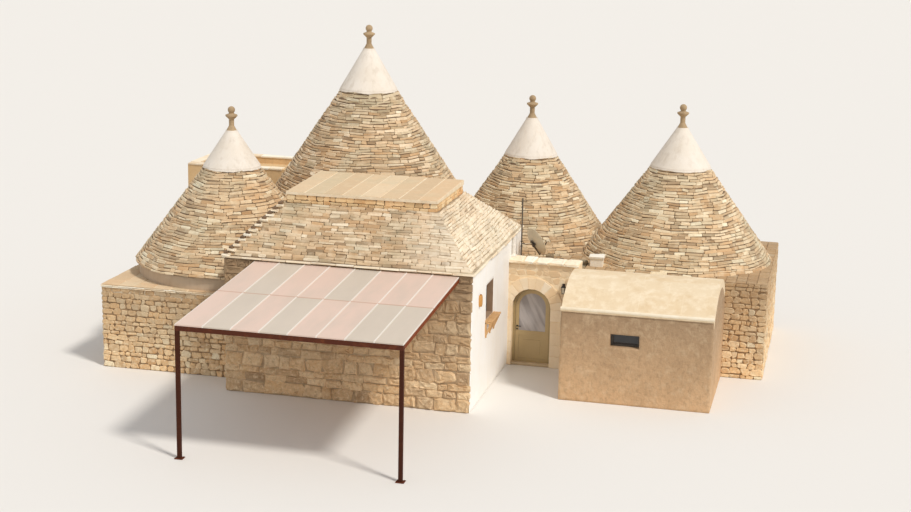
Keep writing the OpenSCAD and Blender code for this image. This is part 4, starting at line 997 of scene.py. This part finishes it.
class Trim:
    """Swept mouldings, bars and turned pieces gathered in one mesh."""

    def __init__(self, name, materials, slot, body=HOUSE):
        self.name, self.materials, self.slot, self.body = name, materials, slot, body
        self.verts, self.faces, self.picks = [], [], []

    def rings(self, rings, closed, pick):
        """Skin over a row of rings that is closed to a loop or capped at both ends."""
        first, count, n = len(self.verts), len(rings), len(rings[0])
        for ring in rings:
            self.verts.extend(ring)
        for k in range(count if closed else count - 1):
            self.faces += hoop(first + k * n, first + (k + 1) % count * n, n)
        if not closed:
            last = first + (count - 1) * n
            self.faces += [tuple(range(first, first + n))[::-1], tuple(range(last, last + n))]
        self.picks.extend([pick] * (len(self.faces) - len(self.picks)))

    def sweep(self, path, normal, section, closed=False, pick=0):
        """Carry a section along a flat path; its first measure runs outwards, its second along normal."""
        rings, count = [], len(path)
        for i, p in enumerate(path):
            before = (p - path[i - 1]).normalized() if closed or i else None
            after = (path[(i + 1) % count] - p).normalized() if closed or i < count - 1 else None
            before, after = before or after, after or before
            out = (before + after).cross(normal).normalized()
            mitre = 1 / max(0.3, out.dot(before.cross(normal).normalized()))
            rings.append([p + out * u * mitre + normal * v for u, v in section])
        self.rings(rings, closed, pick)

    def turn(self, centre, profile, axis=UP, count=24, start=None, arc=tau, pick=0):
        """Turn a profile of radius and height about an axis."""
        side = start or axis.orthogonal().normalized()
        other = axis.cross(side)
        whole = arc == tau
        angles = [arc * k / count for k in range(count if whole else count + 1)]
        self.rings([[centre + (side * cos(a) + other * sin(a)) * r + axis * h for r, h in profile]
                    for a in angles], whole, pick)

    def bar(self, a, b, wide, high, up=UP, edge=0.004, pick=0):
        """Straight bar with bevelled edges between two points."""
        side = (b - a).normalized().cross(up).normalized()
        over = side.cross((b - a).normalized())
        w, h = wide / 2, high / 2
        section = [(-w, -h + edge), (-w + edge, -h), (w - edge, -h), (w, -h + edge),
                   (w, h - edge), (w - edge, h), (-w + edge, h), (-w, h - edge)]
        self.rings([[p + side * u + over * v for u, v in section] for p in (a, b)], False, pick)

    def build(self):
        made = finish(self.name, self.verts, self.faces, self.materials, self.slot, self.body, self.picks)
        shell = bmesh.new()
        shell.from_mesh(made.data)
        bmesh.ops.recalc_face_normals(shell, faces=shell.faces)
        shell.to_mesh(made.data)
        shell.free()
        return made


def plaster_caps():
    """Hand-laid plaster over each cap, with an uneven rim that laps over the topmost stones."""
    count = 120
    for seed, (name, cone) in enumerate((("main", main_cone), ("left", left_cone), ("back", back_cone),
                                         ("right", right_cone))):
        height, shoulder = cone.tip_z - cone.cap_z, 0.13
        # Distance out from the cone, and height over the cap's foot
        levels = [(-0.02, 0), (0.04, 0), (0.05, 0.02), (0.052, 0.07), (0.05, shoulder)]
        levels += [(0.048 + 0.1 * k * k, shoulder + (height - shoulder) * k)
                   for k in (0.15, 0.35, 0.55, 0.75, 0.9, 1)]
        verts = []
        for i in range(count):
            turn = tau * i / count
            around = vec(cos(turn), sin(turn), seed * 2.3)
            rim = 0.028 * noise.noise(around * 2.2) + 0.018 * noise.noise(around * 7)
            for out, rise in levels:
                z = cone.cap_z + rise + (rim - 0.015) * max(0, 1 - rise / 0.3)
                r = max(cone.slope * (cone.tip_z - z) + out, 0.16)
                r += 0.008 * noise.noise(around * 3 + UP * z * 2.5)
                verts.append(vec(cone.x + r * cos(turn), cone.y + r * sin(turn), z))
        n = len(levels)
        finish(name + "_cap_plaster", verts, net([*range(0, len(verts), n), 0], n), "cap_plaster",
               "cap_plaster")


def arch_path(half, z0, spring, y, count=20):
    """Outline of an arched opening of the door, from its lower left corner round to its lower right."""
    turn = [pi - pi * k / count for k in range(count + 1)]
    return [vec(DOOR_X - half, y, z0), *(vec(DOOR_X + half * cos(a), y, spring + half * sin(a))
                                         for a in turn), vec(DOOR_X + half, y, z0)]


def section(*measures):
    """Points of a section from pairs of measures in millimetres."""
    return [(a / 1000, b / 1000) for a, b in zip(measures[::2], measures[1::2])]


def corners(place, s0, s1, t0, t1):
    """Corner points of an upright opening, from the lower left one round."""
    return [place(s, t, 0) for s, t in ((s0, t0), (s0, t1), (s1, t1), (s1, t0))]


# Sections of the door's mouldings: distance out of the path and along its normal
BEAD = section(0, 0, -18, 0, -17, 6, -12, 10, -4, 12.2, 0, 12.2)
PANEL_EDGE = section(0, 0, -30, 0, -24, 6, -10, 11, 0, 11.2)
PANEL_FIELD = section(-70, 0, -100, 9, -130, 9, -130, 0)
# Radius and height of the lock's round plate
LOCK_PLATE = section(0, 0, 24, 0, 24, 4, 20, 6, 11, 6, 10, 12, 0, 12)


def wavy_pane(side, facing, y, half, foot, spring):
    """Pane of the door: rings of points from its centre to its outline, with a slight wave."""
    outline, rings = arch_path(half, foot + 0.002, spring, y, 24), 9
    centre, n = vec(DOOR_X, y, (foot + spring) / 2), len(outline)
    verts = [centre + (p - centre) * (k / rings) - Y * (0.0006 * facing * noise.noise(p * 9 + UP * k))
             for k in range(1, rings + 1) for p in outline] + [centre]
    faces = [face for k in range(rings - 1) for face in hoop(k * n, (k + 1) * n, n)]
    faces += [(rings * n, (i + 1) % n, i) for i in range(n)]
    finish("door_pane_" + side, verts, faces, "door_panes", "door_glass", DOOR)


def door_details():
    """Glazing beads, raised fields, lock and panes of the leaf, and the threshold."""
    glass, handle = Box("door_glass"), Box("door_handle")
    half, margin = (glass.x1 - glass.x0) / 2, 0.095
    spring = glass.z1 - half
    trim = Trim("door_mouldings", "door_paint", "door_paint", DOOR)
    lock = Trim("door_lock", "handle_metal", "handle_steel", DOOR)
    x0, x1, z0, z1 = DOOR_X - half, DOOR_X + half, leaf.z0 + margin, glass.z0 - margin
    inset = 0.128
    for y, facing in ((glass.y0, -1), (glass.y1, 1)):
        normal, face = Y * facing, glass.y + facing * 0.011
        trim.sweep(arch_path(half, glass.z0, spring, y)[::-facing], normal, BEAD, closed=True)
        for shape in (PANEL_EDGE, PANEL_FIELD):
            trim.sweep(corners(on_front(face), x0, x1, z0, z1)[::-facing], normal, shape, closed=True)
        field = vec((x0 + x1) / 2, face + facing * 0.0045, 0)
        trim.bar(field + UP * (z0 + inset), field + UP * (z1 - inset), x1 - x0 - 2 * inset, 0.009, up=Y,
                 edge=0.001)
        lock.turn(vec(leaf.x0 + 0.0475, glass.y + facing * LEAF_T / 2, (handle.z0 + handle.z1) / 2 - 0.085),
                  LOCK_PLATE, normal)
    trim.build()
    lock.build()
    for side, facing, y in (("outer", -1, glass.y0 - 0.001), ("inner", 1, glass.y1 + 0.001)):
        wavy_pane(side, facing, y, half - 0.002, glass.z0, spring)

    step, gap, height = Trim("threshold", "threshold_stone", "surround_stone"), 0.004, 0.07
    middle = vec(0, (hall.y0 + leaf.y0) / 2 - 0.02, 0.045)
    step.bar(middle + X * (door.x0 + gap), middle + X * (door.x1 - gap), leaf.y0 - hall.y0 - 0.02, height,
             edge=0.012)
    step.build()


def window_details():
    """Panes with a slight wave, glazing beads, a mullion and the lining of the side window."""
    frame_w, bead = 0.05, section(0, 0, -14, 0, -12, 12, -2, 21, 0, 21)
    for name, along_x, s0, s1, middle, box, glass in (
            ("side", False, side_win.y0, side_win.y1, side_win.x, side_win, "side_window_panes"),
            ("annex", True, annex_win.x0, annex_win.x1, annex_win.y, annex_win, "window_panes")):
        pane_box = s0 + frame_w, s1 - frame_w, box.z0 + frame_w, box.z1 - frame_w
        bars = Trim(name + "_window_bars", "window_paint", "window_frame")
        for facing in (-1, 1):
            outer = (facing > 0) != along_x
            normal = (Y if along_x else X) * facing

            def place(s, t, d):
                depth = middle + facing * 0.0055 + facing * d
                return vec(s, depth, t) if along_x else vec(depth, s, t)

            trowelled(f"{name}_window_pane_{'outer' if outer else 'inner'}", glass, "window_frame", place,
                      *pane_box, lift=0.0004, relief=0.0003, step=0.05)
            bars.sweep(corners(place, *pane_box)[::1 if outer else -1], normal, bead, closed=True)
            if not along_x:
                s, z0, z1 = (pane_box[0] + pane_box[1]) / 2, *pane_box[2:]
                bars.bar(place(s, z0, 0.012), place(s, z1, 0.012), 0.05, 0.022, up=normal)
        bars.build()

    lining = Trim("side_window_lining", "window_lining", "ledge_wood")
    y0, y1, z0, z1 = side_win.y0, side_win.y1, side_win.z0, side_win.z1
    x, t = (side_win.x1 + front.x1) / 2, 0.014
    deep = front.x1 - side_win.x1 + 0.012
    for y in (y0 + t / 2, y1 - t / 2):
        lining.bar(vec(x, y, z0 + t), vec(x, y, z1 - t), deep, t, up=Y, edge=0.003)
    for z in (z0 + t / 2, z1 - t / 2):
        lining.bar(vec(x, y0, z), vec(x, y1, z), deep, t, edge=0.003)
    lining.build()


def ledge_details():
    """Boards of the window ledge on three brackets with struts."""
    ledge, box = Trim("ledge_boards", "ledge_wood", "ledge_wood"), Box("window_ledge")
    planks, gap, board, rail = 3, 0.004, 0.04, 0.05
    width = (box.x1 - box.x0) / planks
    for i in range(planks):
        across = vec(box.x0 + width * (i + 0.5), 0, box.z1 - board / 2)
        ledge.bar(across + Y * box.y0, across + Y * box.y1, width - gap, board, edge=0.006)
    under = box.z1 - board - 0.025
    for y in (box.y0 + 0.03, box.y, box.y1 - 0.03):
        post = box.x0 + 0.025
        ledge.bar(vec(box.x0, y, under), vec(box.x1 - 0.03, y, under), 0.056, rail, edge=0.005)
        ledge.bar(vec(post, y, box.z0), vec(post, y, under), rail, 0.056, up=Y, edge=0.005)
        ledge.bar(vec(box.x0 + 0.03, y, box.z0 + 0.06), vec(box.x1 - 0.05, y, under), rail, rail, edge=0.005)
    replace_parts(ledge.build(), "window_ledge")


def entrance_details():
    """Rain pipe from the eave, the small vent on the low roof and the lip along the vault."""
    box, pipe = Box("rain_pipe"), Trim("rain_pipe_run", "white_pipe", "pipe_paint")
    side = (box.y1 - box.y0) / 2
    y, z = box.y0 + side, box.z0 + 0.11
    foot, r, round_steps = vec(box.x1 - side, y, 0), 0.045, 28
    pipe.turn(foot, [(0, z - 0.01), (r, z - 0.01), (r, box.z1 - 0.002), (0.041, box.z1), (0, box.z1)],
              count=round_steps)
    for low, high, wide in ((z, z + 0.03, 0.056), (z + 0.24, z + 0.3, 0.052)):
        pipe.turn(foot, [(0.044, low), (wide, low), (wide, high - 0.008), (wide - 0.006, high),
                         (0.044, high)], count=round_steps)
    for low in (z + 0.08, box.z1 - 0.12):
        pipe.turn(foot, [(r, low), (0.05, low), (0.05, low + 0.03), (r, low + 0.03)], count=round_steps)
        pipe.bar(vec(box.x0, y, low + 0.015), vec(foot.x - 0.04, y, low + 0.015), 0.03, 0.024)
    block = (box.z0 + z) / 2
    pipe.bar(vec(box.x0, y, block), vec(box.x1, y, block), 2 * side, z - box.z0, edge=0.012)
    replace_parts(pipe.build(), "rain_pipe")

    vent, box, lip = Stones("vent_limewash", "limewashed_stones", 51, "limewash"), Box("roof_vent"), 0.04
    x0, x1, y0, y1, z0, z1 = box.x0 + lip, box.x1 - lip, box.y0 + lip, box.y1 - lip, box.z0, box.z1 - 0.05
    for place, a, b in ((on_front(y0), x0, x1), (on_right(x1), y0, y1),
                        (lambda s, t, d: vec(x0 - d, y1 + y0 - s, t), y0, y1),
                        (lambda s, t, d: vec(x1 + x0 - s, y1 + d, t), x0, x1)):
        vent.add(place, a, b, z0, z1, out=0.01, rugged=0.12)
    vent.add(on_top(z1), box.x0, box.x1, box.y0, box.y1, out=0.06, chamfer=0.014, sink=0, rugged=0.12)
    vent.build()

    lip, over, count = Trim("vault_lip", "vault_edge_limewash", "vault_plaster"), 0.012, 40
    nose = section(-65, 0, -60, 35, -30, 52, 0, 50, 30, 20, 40, 0)
    path = [vec(annex.x0 - over + (annex.x1 - annex.x0 + 2 * over) * i / count, annex.y0, EAVE_Z - 0.005)
            for i in range(count + 1)]
    lip.sweep([p + UP * 0.006 * noise.noise(p * 1.7) for p in path], -Y, nose)
    lip.build()


def lamp_details():
    """Half-round clay shade on the side wall and a dark lantern on a bracket by the doorway."""
    lamps = Box("wall_lamps")
    trim = Trim("wall_lantern_pair", "clay_shade lantern_metal lantern_glass", "lamp_metal")
    reach = 0.09
    base = vec(front.x1 + 0.004, lamps.y0 + reach, lamps.z1 - 0.3)
    shell = section(75, 0, 88, 50, 90, 150, 88, 250, 75, 300, 66, 298, 78, 240, 79, 60, 66, 2)
    trim.turn(base, shell, UP, 20, start=-Y, arc=pi)
    trim.bar(base + vec(0.006, 0, 0.02), base + vec(0.006, 0, 0.28), 0.15, 0.012, up=X)
    metal, glass = 1, 2
    centre = vec(lamps.x1 - reach, hall.y0 - 0.07, lamps.z0)
    plate = vec(centre.x, hall.y0 - 0.024, lamps.z0)
    trim.bar(plate + UP * 0.1, plate + UP * 0.29, 0.07, 0.02, up=-Y, pick=metal)
    trim.bar(plate + UP * 0.27, centre + UP * 0.285, 0.02, 0.02, pick=metal)
    for k in range(4):
        a = pi / 4 + k * pi / 2
        out = vec(cos(a), sin(a), 0)
        trim.bar(centre + out * 0.04 + UP * 0.03, centre + out * 0.062 + UP * 0.2, 0.009, 0.009, up=out,
                 edge=0.002, pick=metal)
    for pick, profile in (
            (metal, section(0, 200, 85, 200, 80, 208, 30, 255, 14, 260, 12, 285, 0, 285)),
            (metal, section(0, 20, 50, 20, 52, 32, 0, 34)),
            (glass, section(0, 34, 42, 34, 60, 200, 0, 200))):
        trim.turn(centre, profile, count=4, start=vec(1, 1, 0).normalized(), pick=pick)
    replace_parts(trim.build(), "wall_lamps")


def circle(count):
    """Points round a circle of radius 1."""
    return [(cos(tau * i / count), sin(tau * i / count)) for i in range(count)]


def dish_details():
    """Feed arm, feed horn and clamps of the roof dish."""
    mast = vec(mast_x, mast_y, deck.z1)
    hub = mast + vec(DISH_ARM * sin(ARM_TURN), -DISH_ARM * cos(ARM_TURN), DISH_UP)
    level = cos(DISH_LEAN)
    normal = vec(level * sin(DISH_TURN), -level * cos(DISH_TURN), sin(DISH_LEAN))
    across = vec(cos(DISH_TURN), sin(DISH_TURN), 0)
    up = across.cross(-normal)
    up = up if up.z > 0 else -up
    trim = Trim("dish_feed", "mast_steel dish_paint", "dish_metal")
    bowl = 1
    rim = hub - up * (DISH_R + 0.01) + normal * 0.08
    focus = hub + normal * 0.42 - up * 0.16
    trim.bar(hub - normal * 0.05, rim - normal * 0.03, 0.03, 0.03, up=across)
    trim.bar(rim - normal * 0.04, focus, 0.026, 0.026, up=across)
    aim = (hub - focus).normalized()
    horn = section(0, 0, 24, 0, 26, 50, 40, 80, 36, 85, 0, 60)
    trim.turn(focus - aim * 0.03, horn, aim, pick=bowl)
    trim.bar(focus - aim * 0.05 - up * 0.04, focus - aim * 0.05 + up * 0.02, 0.05, 0.06, up=aim, pick=bowl)
    for z in (-0.07, 0.07):
        trim.turn(mast + UP * (DISH_UP + z), [(MAST_R, -0.015), (0.032, -0.013), (0.032, 0.013),
                                              (MAST_R, 0.015)])
    for reach, direction, wide, high in ((0.03, across, 0.07, 0.04), (0.045, up, 0.09, 0.03)):
        trim.bar(hub - normal * reach - direction * 0.1, hub - normal * reach + direction * 0.1, wide, high,
                 up=normal)
    lip = [hub + (across * x + up * y) * DISH_R + normal * 0.1 for x, y in circle(64)]
    trim.sweep(lip, normal, [(x * 0.007, y * 0.007) for x, y in circle(8)], closed=True, pick=bowl)
    trim.build()


def pergola_details():
    """Foot plates with their bolts under the posts."""
    posts, trim = Box("pergola_posts"), Trim("pergola_foot_plates", "foot_plate_paint", "pergola_steel")
    side, half, thick, bolt = 0.045, 0.1, 0.012, 0.075
    nut = section(0, 0, 12, 0, 12, 9, 6, 10, 6, 16, 0, 16)
    for x in (posts.x0 + side, posts.x1 - side):
        centre = vec(x, posts.y0 + side, 0)
        trim.bar(centre + vec(-half, 0, thick / 2), centre + vec(half, 0, thick / 2), 2 * half, thick)
        for dx in (-bolt, bolt):
            for dy in (-bolt, bolt):
                trim.turn(centre + vec(dx, dy, thick), nut, count=6)
    trim.build()


# Camera, lights and floor

# Where the photograph was taken from, and the heading, pitch, roll and lens that frame the house
CAMERA_PLACE = vec(13.41, -44.78, 13.21)
CAMERA_HEADING, CAMERA_PITCH, CAMERA_ROLL = (radians(a) for a in (13.52, -13.06, 1.15))
CAMERA_LENS, SENSOR_WIDTH = 64.9, 36
TOWARD_SUN = vec(0.545, -0.32, 0.78)


def camera():
    data = bpy.data.cameras.new("camera")
    data.lens, data.sensor_width = CAMERA_LENS, SENSOR_WIDTH
    made = placed("camera", data)
    made.location = CAMERA_PLACE
    level = Euler((pi / 2 + CAMERA_PITCH, 0, CAMERA_HEADING)).to_matrix()
    made.rotation_euler = (level @ Matrix.Rotation(CAMERA_ROLL, 3, "Z")).to_euler()
    bpy.context.scene.camera = made


def lights():
    """Sun, soft light from all round, and a pale sky that only the camera, gloss and glass see."""
    sun = bpy.data.lights.new("key", "SUN")
    sun.energy, sun.angle, sun.color = 2.2, radians(9), (1, 0.97, 0.93)
    placed("key", sun).rotation_euler = TOWARD_SUN.to_track_quat("Z", "Y").to_euler()
    world = bpy.data.worlds.new("studio")
    world.use_nodes = True
    nodes, links = world.node_tree.nodes, world.node_tree.links
    light, sky = nodes["Background"], nodes.new("ShaderNodeBackground")
    light.inputs["Color"].default_value = (0.93, 0.95, 1, 1)
    light.inputs["Strength"].default_value = 0.6
    sky.inputs["Color"].default_value = (*colours("f1eee6")[0], 1)
    path, blend = nodes.new("ShaderNodeLightPath"), nodes.new("ShaderNodeMixShader")
    seen = path.outputs["Is Camera Ray"]
    for ray in ("Is Glossy Ray", "Is Transmission Ray"):
        either = nodes.new("ShaderNodeMath")
        either.operation = "MAXIMUM"
        links.new(seen, either.inputs[0])
        links.new(path.outputs[ray], either.inputs[1])
        seen = either.outputs[0]
    for source, socket in ((seen, 0), (light.outputs[0], 1), (sky.outputs[0], 2)):
        links.new(source, blend.inputs[socket])
    links.new(blend.outputs[0], nodes["World Output"].inputs["Surface"])
    bpy.context.scene.world = world


def studio_floor():
    size, z = 600, -0.002
    mesh = bpy.data.meshes.new("studio_floor")
    mesh.from_pydata([(-size, -size, z), (size, -size, z), (size, size, z), (-size, size, z)], [],
                     [(0, 1, 2, 3)])
    mesh.materials.append(Shader("studio_floor", 0.95).done(*colours("e8e4dd")))
    made = placed("studio_floor", mesh)


dress_nodes()
roofs()
walls()
tops()
edges()
door_stones()
plaster_caps()
door_details()
window_details()
ledge_details()
entrance_details()
lamp_details()
dish_details()
pergola_details()
camera()
lights()
studio_floor()
bpy.context.scene.view_settings.view_transform = "Standard"
